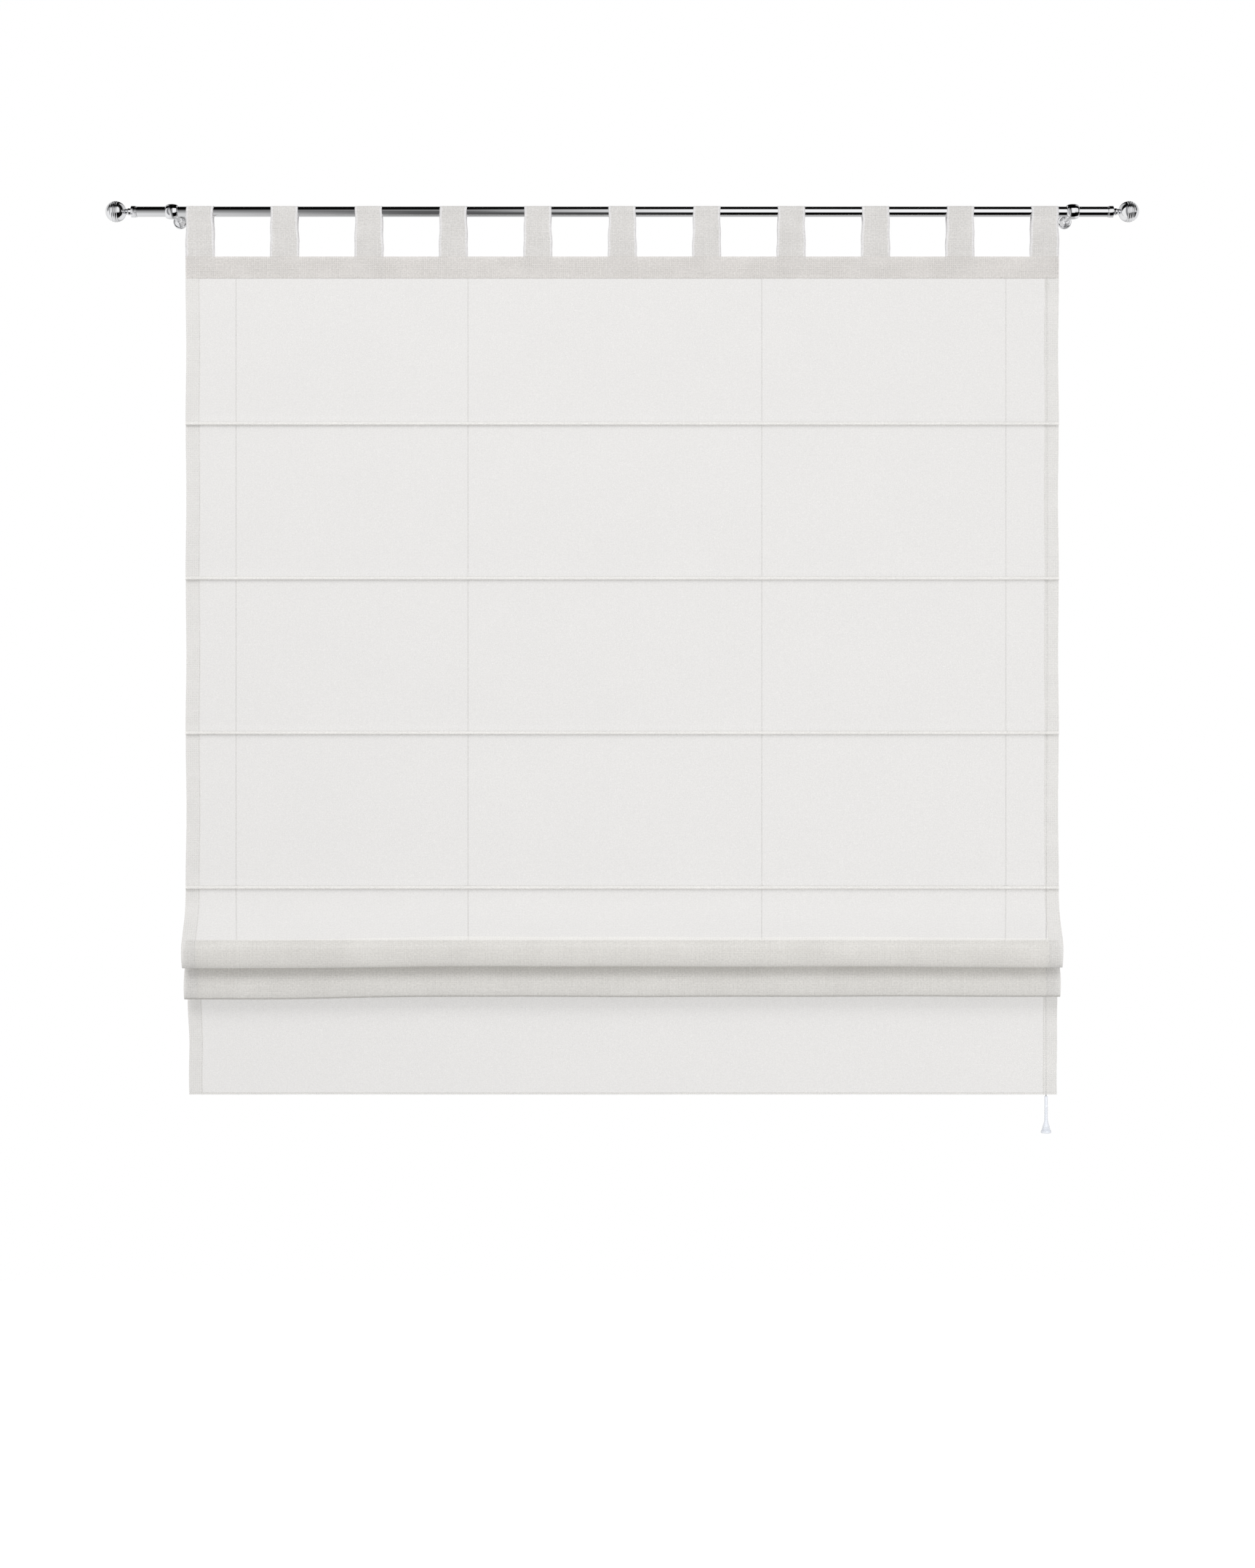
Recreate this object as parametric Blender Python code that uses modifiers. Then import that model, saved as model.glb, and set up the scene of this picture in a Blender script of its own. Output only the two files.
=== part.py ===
"""Tab-top voile Roman blind on a chrome curtain rod, with its two lowest bays drawn up.

The cloth is one long sheet: it runs down from the header, makes a small tuck round the rod
of each pocket, and billows forward twice where the lowest bays are gathered.

Frame: metres, origin on the wall plane, midway between the two wall discs, at the height
of the curtain rod's axis. +X runs to the right along the rod, +Y points into the wall, so
the front faces -Y, and +Z is up.
"""

from math import acos, atan2, cos, hypot, pi, radians, sin

import bmesh
import bpy
from mathutils import Vector

# Clearance between pieces that touch
FIT = 0.0003

# Width of the cloth, which the rod, brackets and cords follow
BLIND_WIDTH = 1.400

# Curtain rod
ROD_OVERHANG = 0.078
ROD_RADIUS = 0.008
ROD_WALL = 0.0012
ROD_TO_WALL = 0.080

# Ball finials
COLLAR_LENGTH = 0.0095
COLLAR_RADIUS = 0.0090
COLLAR_GROOVE = 0.0010
NECK_LENGTH = 0.0085
NECK_RADIUS = 0.0054
WAIST_RADIUS = 0.0040
BALL_RADIUS = 0.0165
BALL_GROOVES = (-0.0030, 0.0004, 0.0037, 0.0070)
BALL_GROOVE_WIDTH = 0.0012
BALL_GROOVE_DEPTH = 0.0006
SPIGOT_LENGTH = 0.016

# Wall brackets
BRACKET_INSET = 0.056
HOLDER_WIDTH = 0.0192
HOLDER_END_RADIUS = 0.0094
HOLDER_BULGE = 0.0026
ARM_RADIUS = 0.0045
ROSETTE_RADIUS = 0.0112
ROSETTE_RIM = 0.0046
ROSETTE_RIBS = 3
RIB_PITCH = 0.0030
RIB_DEPTH = 0.0009
RIB_TAPER = 0.0012
RIB_BASE_RADIUS = 0.0086

# Wall discs and their screws
DISC_RADIUS = 0.0080
DISC_THICKNESS = 0.0032
SCREW_SHANK_RADIUS = 0.0020
SCREW_HEAD_RADIUS = 0.0040
SCREW_HEAD_HEIGHT = 0.0022
SCREW_LENGTH = 0.040
SCREW_POINT = 0.006

# Cloth
CLOTH = 0.0005
HEM = 0.0008
SIDE_HEM_WIDTH = 0.023
BOTTOM_HEM_HEIGHT = 0.0035
HEM_STEP = 0.0003

# Header and tabs
HEADER_DROP = 0.072
HEADER_HEIGHT = 0.035
FACING_THICKNESS = 0.0008
TAB_COUNT = 11
TAB_WIDTH = 0.0465
TAB_THICKNESS = 0.0008
TAB_TUCKED_IN = 0.028

# Pockets, each a tuck round its own thin rod
FIRST_BAY = 0.2686
BAY = 0.248
FLAT_POCKETS = 4
POCKET_ROD_RADIUS = 0.0015
POCKET_ROD_INSET = 0.004
POCKET_NECK = 0.0032

# Gathered pockets: how far each lies below and behind the last flat one
GATHERED_DROPS = (0.0892, 0.1049)
GATHERED_SETBACKS = (0.005, 0.012)

# Billows of cloth between the gathered pockets; hangs, swells and rise are shares of a leg's height
BILLOW_REACHES = (0.0425, 0.0180)
BILLOW_DROPS = (0.1265, 0.1750)
BILLOW_NOSE_DEPTHS = (0.0115, 0.0080)
BILLOW_NOSE_HEIGHTS = (0.0160, 0.0120)
BILLOW_HANGS = (0.62, 0.45)
BILLOW_SWELLS = (0.22, 0.38)
BILLOW_RISE = 0.42

# Flat cloth below the last pocket
LAST_PANEL = 0.2280

# Rings behind the pockets and guide rings behind the header
RING_RADIUS = 0.0045
RING_WIRE = 0.0015
GUIDE_RADIUS = 0.00525
GUIDE_DROP = 0.020

# Cords, the lift cords placed as shares of the cloth's width
LIFT_CORD_SHARES = (-0.443, -0.177, 0.160, 0.440)
LIFT_CORD_RADIUS = 0.0006
LIFT_CORD_BEND = 0.003
LIFT_CORD_TAIL = 0.004
GUIDE_LEAD = 0.004
PULL_INSET = 0.018
PULL_CORD_RADIUS = 0.0007
PULL_CORD_CLEARANCE = 0.0015
PULL_CORD_STATIONS = 44
KNOT_SCALE = 2.1

# Joiner where the lift cords meet the pull cord
JOINER_RADIUS = 0.0034
JOINER_LENGTH = 0.013
JOINER_TOP = -0.112

# Bell pull on the end of the cord
PULL_TOP = -1.4204
PULL_NECK_LENGTH = 0.038
PULL_NECK_RADIUS = 0.0027
PULL_NECK_RIBS = 5
PULL_RIB_HEIGHT = 0.0004
PULL_BELL_LENGTH = 0.0215
PULL_BELL_RADIUS = 0.0083
PULL_BELL_STEPS = (0.0115, 0.0090, 0.0065)
PULL_STEP_DEPTH = 0.0004
PULL_WALL = 0.0014
KNOT_DEPTH = 0.0056

# Facets
ROUND_STEPS = 16
FINE_STEPS = 24
RING_STEPS = 8
RING_WIRE_STEPS = 4

# Sizes that follow from the ones above
ROD_LENGTH = BLIND_WIDTH + 2 * ROD_OVERHANG
BRACKET_X = ROD_LENGTH / 2 - BRACKET_INSET
LIFT_CORD_X = tuple(BLIND_WIDTH * share for share in LIFT_CORD_SHARES)
PULL_X = BLIND_WIDTH / 2 - PULL_INSET
LAYER_PITCH = HEM + FIT
LOOP_RADIUS = POCKET_ROD_RADIUS + FIT + HEM / 2
ROD_Y = -ROD_TO_WALL
TAB_LEG_OFFSET = FIT / 2 + TAB_THICKNESS / 2
FRONT_Y = ROD_Y - FIT / 2 - TAB_THICKNESS - FIT - HEM / 2
FACING_Y = ROD_Y + FIT / 2 + TAB_THICKNESS + FIT + FACING_THICKNESS / 2
NECK_Y = FRONT_Y + LAYER_PITCH / 2
HEADER_BOTTOM = -HEADER_DROP - HEADER_HEIGHT
GUIDE_MAJOR = GUIDE_RADIUS - RING_WIRE / 2
GUIDE_Y = FACING_Y + GUIDE_MAJOR
GUIDE_Z = -HEADER_DROP - GUIDE_DROP
CORD_PITCH = 2 * LIFT_CORD_RADIUS + FIT
LOW_LANE_Z = GUIDE_Z - GUIDE_MAJOR + RING_WIRE / 2 + 2 * FIT + 2 * LIFT_CORD_RADIUS


def clear_scene():
    for leftover in list(bpy.data.objects):
        bpy.data.objects.remove(leftover, do_unlink=True)


def new_collection(name):
    collection = bpy.data.collections.new(name)
    bpy.context.scene.collection.children.link(collection)
    return collection


def new_material(name, color, roughness, metallic=0.0):
    material = bpy.data.materials.new(name)
    material.use_nodes = True
    shader = material.node_tree.nodes["Principled BSDF"]
    shader.inputs["Base Color"].default_value = (*color, 1.0)
    shader.inputs["Roughness"].default_value = roughness
    shader.inputs["Metallic"].default_value = metallic
    return material


def add_object(name, data, collection, material=None):
    piece = bpy.data.objects.new(name, data)
    collection.objects.link(piece)
    if material and not data.materials:
        data.materials.append(material)
    return piece


def hide_as_cutter(piece):
    piece.hide_render = True
    piece.display_type = "WIRE"
    return piece


def add_boolean(piece, other, operation):
    modifier = piece.modifiers.new(operation.title() + " " + other.name, "BOOLEAN")
    modifier.operation = operation
    modifier.object = other


def lathe(name, profile, collection, material=None, steps=ROUND_STEPS, closed=False):
    """Turns a profile of (radius, height) points, top to bottom, about the local Z axis."""
    mesh = bpy.data.meshes.new(name)
    count = len(profile)
    edges = [(i, i + 1) for i in range(count - 1)]
    if closed:
        edges.append((count - 1, 0))
    mesh.from_pydata([(radius, 0.0, height) for radius, height in profile], edges, [])
    piece = add_object(name, mesh, collection, material)
    screw = piece.modifiers.new("Turn", "SCREW")
    screw.steps = steps
    screw.render_steps = steps
    screw.use_merge_vertices = True
    screw.merge_threshold = 0.00001
    screw.use_smooth_shade = True
    return piece


def point_along(piece, axis):
    """Lays the local Z axis of a turned piece along a world axis."""
    piece.rotation_euler = Vector((0, 0, 1)).rotation_difference(Vector(axis)).to_euler()
    return piece


def arc(center, radii, start, end, steps):
    """Points of an elliptic arc in a section, angles in degrees, both ends included."""
    angles = [radians(start + (end - start) * i / steps) for i in range(steps + 1)]
    return [(center[0] + radii[0] * cos(a), center[1] + radii[1] * sin(a)) for a in angles]


def cubic(start, start_handle, end_handle, end, steps):
    """Points of a Bezier curve in a section, without its first point."""
    points = []
    for i in range(1, steps + 1):
        t = i / steps
        weights = ((1 - t) ** 3, 3 * t * (1 - t) ** 2, 3 * t * t * (1 - t), t**3)
        corners = (start, start_handle, end_handle, end)
        points.append(tuple(sum(w * c[k] for w, c in zip(weights, corners)) for k in (0, 1)))
    return points


def smooth_route(points, stations):
    """Even stations along a smooth curve through a cord's own points."""
    knots = [Vector(p) for p in points]
    ends = [2 * knots[0] - knots[1], *knots, 2 * knots[-1] - knots[-2]]
    dense = []
    for before, a, b, after in zip(ends, ends[1:], ends[2:], ends[3:]):
        for i in range(24):
            t = i / 24
            dense.append(
                a
                + (b - before) * (t / 2)
                + (2 * before - 5 * a + 4 * b - after) * (t * t / 2)
                + (3 * a - before - 3 * b + after) * (t**3 / 2)
            )
    dense.append(knots[-1])
    lengths = [0.0]
    for a, b in zip(dense, dense[1:]):
        lengths.append(lengths[-1] + (b - a).length)
    route = []
    segment = 0
    for i in range(stations):
        wanted = lengths[-1] * i / (stations - 1)
        while segment < len(dense) - 2 and lengths[segment + 1] < wanted:
            segment += 1
        span = lengths[segment + 1] - lengths[segment]
        share = (wanted - lengths[segment]) / span
        route.append(dense[segment].lerp(dense[segment + 1], min(share, 1.0)))
    return route


def tube(name, route, radius, collection, material, scales=None):
    """A cord as a curve with a round bevel; scales thicken it at the stations of a knot."""
    curve = bpy.data.curves.new(name, "CURVE")
    curve.dimensions = "3D"
    curve.bevel_depth = radius
    curve.bevel_resolution = 2
    curve.use_fill_caps = True
    spline = curve.splines.new("POLY")
    spline.points.add(len(route) - 1)
    for index, (point, place) in enumerate(zip(spline.points, route)):
        point.co = (*place, 1.0)
        point.radius = scales.get(index, 1.0) if scales else 1.0
    spline.use_smooth = True
    return add_object(name, curve, collection, material)


def sheet(name, path, columns, collection, material, thickness, thin=None, hemmed=None):
    """Sweeps a section path of (y, z) points across X columns and gives it thickness.

    With thin, the cloth is only that thick wherever hemmed(x, z) is false.
    """
    mesh = bpy.data.meshes.new(name)
    shape = bmesh.new()
    row = [shape.verts.new((columns[0], y, z)) for y, z in path]
    edges = [shape.edges.new(pair) for pair in zip(row, row[1:])]
    for left, right in zip(columns, columns[1:]):
        grown = bmesh.ops.extrude_edge_only(shape, edges=edges)["geom"]
        moved = {item for item in grown if isinstance(item, bmesh.types.BMVert)}
        edges = [
            item
            for item in grown
            if isinstance(item, bmesh.types.BMEdge) and all(v in moved for v in item.verts)
        ]
        bmesh.ops.translate(shape, vec=(right - left, 0, 0), verts=list(moved))
    shape.to_mesh(mesh)
    shape.free()
    piece = add_object(name, mesh, collection, material)
    solidify = piece.modifiers.new("Thickness", "SOLIDIFY")
    solidify.thickness = thickness
    solidify.offset = 0.0
    solidify.use_even_offset = True
    if thin:
        group = piece.vertex_groups.new(name="Hems")
        thick = [v.index for v in mesh.vertices if hemmed(v.co.x, v.co.z)]
        group.add(thick, 1.0, "REPLACE")
        solidify.vertex_group = group.name
        solidify.thickness_vertex_group = thin / thickness
    return piece


def rod_z(pocket):
    """Height of a pocket's thin rod, pockets counted from 0 at the top."""
    last_flat = -HEADER_DROP - FIRST_BAY - BAY * (FLAT_POCKETS - 1)
    if pocket < FLAT_POCKETS:
        return last_flat + BAY * (FLAT_POCKETS - 1 - pocket)
    return last_flat - GATHERED_DROPS[pocket - FLAT_POCKETS]


def neck_y(pocket):
    if pocket < FLAT_POCKETS:
        return NECK_Y
    return NECK_Y + GATHERED_SETBACKS[pocket - FLAT_POCKETS]


def pocket_count():
    return FLAT_POCKETS + len(GATHERED_DROPS)


def pocket_rod_place(pocket):
    return neck_y(pocket) + LAYER_PITCH / 2 - LOOP_RADIUS, rod_z(pocket)


def ring_place(pocket):
    """Centre of the rings sewn behind a pocket's neck, in the section."""
    back_face = neck_y(pocket) + 1.5 * LAYER_PITCH + HEM / 2
    return back_face + FIT + RING_RADIUS, rod_z(pocket) + POCKET_NECK


def pocket_path(pocket):
    """The tuck round a pocket's rod: in at the neck's front, out down its back."""
    center = pocket_rod_place(pocket)
    neck = neck_y(pocket)
    top = rod_z(pocket) + POCKET_NECK
    front = (neck - LAYER_PITCH / 2, top)
    reach = (front[0] - center[0], front[1] - center[1])
    tangent = atan2(reach[1], reach[0]) + acos(LOOP_RADIUS / hypot(*reach))
    path = [front]
    path += arc(center, (LOOP_RADIUS, LOOP_RADIUS), tangent * 180 / pi, 360, 6)
    path += arc((neck + LAYER_PITCH, top), (LAYER_PITCH / 2, LAYER_PITCH / 2), 180, 0, 3)
    if pocket >= FLAT_POCKETS:
        rise_y = center[0] - LOOP_RADIUS - LAYER_PITCH
        crown = (front[0] - rise_y) / 2
        path = arc((rise_y + crown, top), (crown, crown), 180, 0, 4)[:-1] + path
    return path


def billow_path(start, end, index):
    """A slack bay: forward and down to its belly, round the nose and up behind."""
    reach = BILLOW_REACHES[index]
    depth = BILLOW_NOSE_DEPTHS[index]
    height = BILLOW_NOSE_HEIGHTS[index]
    belly_y = FRONT_Y - reach
    nose_z = rod_z(FLAT_POCKETS - 1) - BILLOW_DROPS[index] + height
    belly = (belly_y, nose_z)
    heel = (belly_y + 2 * depth, nose_z)
    hang = (start[1] - nose_z) * BILLOW_HANGS[index]
    swell = (start[1] - nose_z) * BILLOW_SWELLS[index]
    rise = (end[1] - nose_z) * BILLOW_RISE
    path = cubic(start, (start[0], start[1] - hang), (belly[0], nose_z + swell), belly, 6)
    path += arc((belly_y + depth, nose_z), (depth, height), 180, 360, 6)[1:]
    path += cubic(heel, (heel[0], nose_z + rise), (end[0], end[1] - rise), end, 5)[:-1]
    return path


def panel_path():
    """The whole sheet's section, from the header's top edge down to the bottom hem."""
    path = [(FRONT_Y, -HEADER_DROP)]
    path += [(FRONT_Y, HEADER_BOTTOM), (FRONT_Y, HEADER_BOTTOM - HEM_STEP)]
    for pocket in range(pocket_count()):
        tuck = pocket_path(pocket)
        if pocket >= FLAT_POCKETS:
            path += billow_path(path[-1], tuck[0], pocket - FLAT_POCKETS)
        path += tuck
    bottom = rod_z(pocket_count() - 1) - LAST_PANEL
    path += [(path[-1][0], bottom + BOTTOM_HEM_HEIGHT + HEM_STEP)]
    path += [(path[-1][0], bottom + BOTTOM_HEM_HEIGHT), (path[-1][0], bottom)]
    return path


def make_panel(collection, material):
    path = panel_path()
    half = BLIND_WIDTH / 2
    hem_edge = half - SIDE_HEM_WIDTH
    columns = [-half, -hem_edge, -hem_edge + HEM_STEP, hem_edge - HEM_STEP, hem_edge, half]

    def hemmed(x, z):
        header = z > HEADER_BOTTOM - HEM_STEP / 2
        bottom = z < path[-2][1] + HEM_STEP / 2
        return header or bottom or abs(x) > hem_edge - HEM_STEP / 2

    return sheet("voile_panel", path, columns, collection, material, HEM, CLOTH, hemmed)


def tab_path():
    """A tab's loop over the rod, its two legs closed together inside the header."""
    radius = ROD_RADIUS + FIT + TAB_THICKNESS / 2
    spread = acos(radius / hypot(TAB_LEG_OFFSET, HEADER_DROP))
    lean = atan2(HEADER_DROP, TAB_LEG_OFFSET)
    swing = (spread - lean) * 180 / pi
    low = -HEADER_DROP - TAB_TUCKED_IN
    path = [(ROD_Y - TAB_LEG_OFFSET, low), (ROD_Y - TAB_LEG_OFFSET, -HEADER_DROP)]
    path += arc((ROD_Y, 0.0), (radius, radius), 180 - swing, swing, 7)
    path += [(ROD_Y + TAB_LEG_OFFSET, -HEADER_DROP), (ROD_Y + TAB_LEG_OFFSET, low)]
    return path


def make_tabs(collection, material):
    path = tab_path()
    pitch = (BLIND_WIDTH - TAB_WIDTH) / (TAB_COUNT - 1)
    for index in range(TAB_COUNT):
        left = -BLIND_WIDTH / 2 + pitch * index
        name = f"tab_{index + 1:02d}"
        sheet(name, path, [left, left + TAB_WIDTH], collection, material, TAB_THICKNESS)


def ring_mesh(name, major, wire_radius, steps, wire_steps):
    bpy.ops.mesh.primitive_torus_add(
        major_radius=major,
        minor_radius=wire_radius,
        major_segments=steps,
        minor_segments=wire_steps,
    )
    made = bpy.context.object
    mesh = made.data
    mesh.name = name
    mesh.shade_smooth()
    bpy.data.objects.remove(made, do_unlink=True)
    return mesh


def guide_places():
    """X of the guide rings: one beside each lift cord and one at the pull side."""
    return [x + GUIDE_LEAD for x in LIFT_CORD_X] + [pull_turn_x() - RING_WIRE]


def pull_turn_x():
    """Where the lift cords start to turn down beside the last guide ring."""
    return PULL_X - CORD_PITCH / 2 - LIFT_CORD_BEND


def make_facing(collection, cutters, material):
    """The strip sewn behind the header, with the guide rings sewn on as part of it."""
    mesh = bpy.data.meshes.new("header_facing")
    shape = bmesh.new()
    bmesh.ops.create_cube(shape, size=1.0)
    bmesh.ops.scale(shape, vec=(BLIND_WIDTH, FACING_THICKNESS, HEADER_HEIGHT), verts=shape.verts)
    shape.to_mesh(mesh)
    shape.free()
    facing = add_object("header_facing", mesh, collection, material)
    facing.location = (0.0, FACING_Y, -HEADER_DROP - HEADER_HEIGHT / 2)
    ring = ring_mesh("guide_ring", GUIDE_MAJOR, RING_WIRE / 2, 10, 4)
    for index, x in enumerate(guide_places()):
        guide = add_object(f"guide_ring_{index + 1}", ring, cutters)
        point_along(guide, (1, 0, 0))
        guide.location = (x, GUIDE_Y, GUIDE_Z)
        hide_as_cutter(guide)
        add_boolean(facing, guide, "UNION")


def make_rings(collection, material):
    major = RING_RADIUS - RING_WIRE / 2
    mesh = ring_mesh("cord_ring", major, RING_WIRE / 2, RING_STEPS, RING_WIRE_STEPS)
    for pocket in range(pocket_count()):
        y, z = ring_place(pocket)
        for column, x in enumerate(LIFT_CORD_X):
            name = f"cord_ring_{pocket + 1}_{column + 1}"
            ring = add_object(name, mesh, collection, material)
            ring.location = (x, y, z)


def make_pocket_rods(collection, material):
    mesh = bpy.data.meshes.new("pocket_rod")
    shape = bmesh.new()
    bmesh.ops.create_cone(
        shape,
        cap_ends=True,
        segments=8,
        radius1=POCKET_ROD_RADIUS,
        radius2=POCKET_ROD_RADIUS,
        depth=BLIND_WIDTH - 2 * POCKET_ROD_INSET,
    )
    shape.to_mesh(mesh)
    shape.free()
    for pocket in range(pocket_count()):
        rod = add_object(f"pocket_rod_{pocket + 1}", mesh, collection, material)
        point_along(rod, (1, 0, 0))
        rod.location = (0.0, *pocket_rod_place(pocket))


def lift_cord_route(index):
    """Up through the rings, over into the header's guide rings, and down at the pull side."""
    x = LIFT_CORD_X[index]
    upper = index < 2
    lane_y = GUIDE_Y + (CORD_PITCH / 2 if index % 2 == 0 else -CORD_PITCH / 2)
    lane_z = LOW_LANE_Z + (CORD_PITCH if upper else 0.0)
    bottom_y, bottom_z = ring_place(pocket_count() - 1)
    route = [(x, bottom_y, bottom_z - LIFT_CORD_TAIL)]
    for pocket in reversed(range(pocket_count())):
        y, z = ring_place(pocket)
        if pocket >= FLAT_POCKETS - 1 or pocket == 0:
            route.append((x, y, z))
    bend = LIFT_CORD_BEND
    rise_z = lane_z - bend
    route.append((x, ring_place(0)[0], rise_z - 6 * bend))
    for across, up in arc((x + bend, rise_z), (bend, bend), 180, 90, 3):
        route.append((across, lane_y, up))
    turn = bend + (CORD_PITCH if upper else 0.0)
    for across, up in arc((pull_turn_x(), lane_z - turn), (turn, turn), 90, 0, 3):
        route.append((across, lane_y, up))
    route.append((pull_turn_x() + turn, lane_y, JOINER_TOP + FIT))
    return route


def make_lift_cords(collection, material):
    for index in range(len(LIFT_CORD_X)):
        name = f"lift_cord_{index + 1}"
        route = lift_cord_route(index)
        tube(name, route, LIFT_CORD_RADIUS, collection, material, {0: KNOT_SCALE})


def make_joiner(collection, material):
    half = JOINER_LENGTH / 2
    shoulder = JOINER_RADIUS * 0.72
    profile = [
        (0.0, half),
        (shoulder, half),
        (JOINER_RADIUS, half - 0.0015),
        (JOINER_RADIUS, -half + 0.004),
        (PULL_CORD_RADIUS + 0.0006, -half),
        (0.0, -half),
    ]
    joiner = lathe("cord_joiner", profile, collection, material, steps=12)
    joiner.location = (PULL_X, GUIDE_Y, JOINER_TOP - half)


def pull_cord_route():
    """Chosen points: from the joiner, back past the billows, plumb down into the pull.

    Each is a sideways drift, a share of the way back and a share of the way down.
    """
    chosen = [
        (0.0000, 0.000, 0.000),
        (0.0000, 0.000, 0.018),
        (0.0001, 0.006, 0.086),
        (0.0003, 0.028, 0.175),
        (0.0005, 0.061, 0.265),
        (0.0006, 0.105, 0.355),
        (0.0006, 0.171, 0.444),
        (0.0005, 0.260, 0.534),
        (0.0003, 0.392, 0.624),
        (0.0002, 0.580, 0.706),
        (0.0001, 0.834, 0.765),
        (0.0000, 0.978, 0.803),
        (0.0000, 1.000, 0.863),
        (0.0000, 1.000, 0.922),
        (0.0000, 1.000, 0.967),
        (0.0000, 1.000, 1.000),
    ]
    top = JOINER_TOP - JOINER_LENGTH - FIT
    drop = PULL_TOP - PULL_NECK_LENGTH - KNOT_DEPTH - top
    last_panel_back = neck_y(pocket_count() - 1) + 1.5 * LAYER_PITCH + HEM / 2
    setback = last_panel_back + PULL_CORD_CLEARANCE + PULL_CORD_RADIUS - GUIDE_Y
    return [(PULL_X + x, GUIDE_Y + setback * y, top + drop * z) for x, y, z in chosen]


def make_pull_cord(collection, material):
    route = smooth_route(pull_cord_route(), PULL_CORD_STATIONS)
    tail = route[-1]
    knot = [tail - Vector((0, 0, 0.0012)), tail - Vector((0, 0, 0.0030))]
    scales = {PULL_CORD_STATIONS: KNOT_SCALE, PULL_CORD_STATIONS + 1: KNOT_SCALE}
    tube("pull_cord", route + knot, PULL_CORD_RADIUS, collection, material, scales)


def pull_bell_radius(height):
    """The flaring bell's radius at a height above its rim."""
    share = (height - 0.0030) / (PULL_BELL_LENGTH - 0.0030)
    return PULL_BELL_RADIUS - (PULL_BELL_RADIUS - PULL_NECK_RADIUS) * share**0.85


def pull_outline():
    """Outside of the bell pull, from the top of its neck to the rim, heights from the top."""
    rib_start = PULL_NECK_LENGTH * 0.42
    rib_pitch = (PULL_NECK_LENGTH - rib_start) / PULL_NECK_RIBS / 2
    outline = [(PULL_NECK_RADIUS - 0.0006, 0.0), (PULL_NECK_RADIUS, -0.0008)]
    for step in range(2 * PULL_NECK_RIBS):
        swell = PULL_RIB_HEIGHT if step % 2 else 0.0
        outline.append((PULL_NECK_RADIUS - 0.0002 + swell, -rib_start - rib_pitch * step))
    neck_end = (PULL_NECK_RADIUS, -PULL_NECK_LENGTH)
    bottom = -PULL_NECK_LENGTH - PULL_BELL_LENGTH
    outline.append(neck_end)
    first = bottom + PULL_BELL_STEPS[0]
    top_step = (pull_bell_radius(PULL_BELL_STEPS[0]), first)
    handle = PULL_NECK_RADIUS + 0.0005
    outline += cubic(neck_end, (handle, neck_end[1] - 0.004), (handle + 0.0008, first + 0.004), top_step, 3)
    for height in PULL_BELL_STEPS:
        radius = pull_bell_radius(height)
        outline += [(radius, bottom + height - 0.0004), (radius - PULL_STEP_DEPTH, bottom + height - 0.0008)]
    outline += [(PULL_BELL_RADIUS, bottom + 0.0030), (PULL_BELL_RADIUS - 0.0002, bottom + 0.0014)]
    outline.append((PULL_BELL_RADIUS - 0.0014, bottom))
    return outline


def make_cord_pull(collection, material):
    """A hollow bell: the cord's bore through the neck opens into the bell over its knot."""
    bore = PULL_CORD_RADIUS + FIT
    rim_z = -PULL_NECK_LENGTH - PULL_BELL_LENGTH
    hollow_top = -PULL_NECK_LENGTH - KNOT_DEPTH + 0.0016
    inside = [
        (PULL_BELL_RADIUS - PULL_WALL - 0.0014, rim_z),
        (PULL_BELL_RADIUS - PULL_WALL - 0.0006, rim_z + 0.004),
        (0.0040, hollow_top - 0.004),
        (0.0022, hollow_top),
        (bore, hollow_top),
        (bore, 0.0),
    ]
    pull = lathe("cord_pull", pull_outline() + inside, collection, material, 14, closed=True)
    end = pull_cord_route()[-1]
    pull.location = (end[0], end[1], PULL_TOP)


def make_curtain_rod(collection, material):
    half = ROD_LENGTH / 2
    bore = ROD_RADIUS - ROD_WALL
    profile = [(ROD_RADIUS, half), (ROD_RADIUS, -half), (bore, -half), (bore, half)]
    rod = lathe("curtain_rod", profile, collection, material, FINE_STEPS, closed=True)
    point_along(rod, (1, 0, 0))
    rod.location = (0.0, ROD_Y, 0.0)


def ball_outline(center_height, bottom_angle):
    """The ball from its tip to the neck, with shallow turned grooves round it."""
    stations = []
    for angle in range(90, int(bottom_angle), -15):
        stations.append((BALL_RADIUS * sin(radians(angle)), 0.0))
    for groove in BALL_GROOVES:
        half = BALL_GROOVE_WIDTH / 2
        stations = [s for s in stations if abs(s[0] - groove) > BALL_GROOVE_WIDTH]
        stations += [(groove + half, 0.0), (groove, BALL_GROOVE_DEPTH), (groove - half, 0.0)]
    stations.sort(reverse=True)
    outline = []
    for height, depth in stations:
        radius = (max(BALL_RADIUS**2 - height**2, 0.0)) ** 0.5 - depth
        outline.append((max(radius, 0.0), center_height + height))
    return outline


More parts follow.
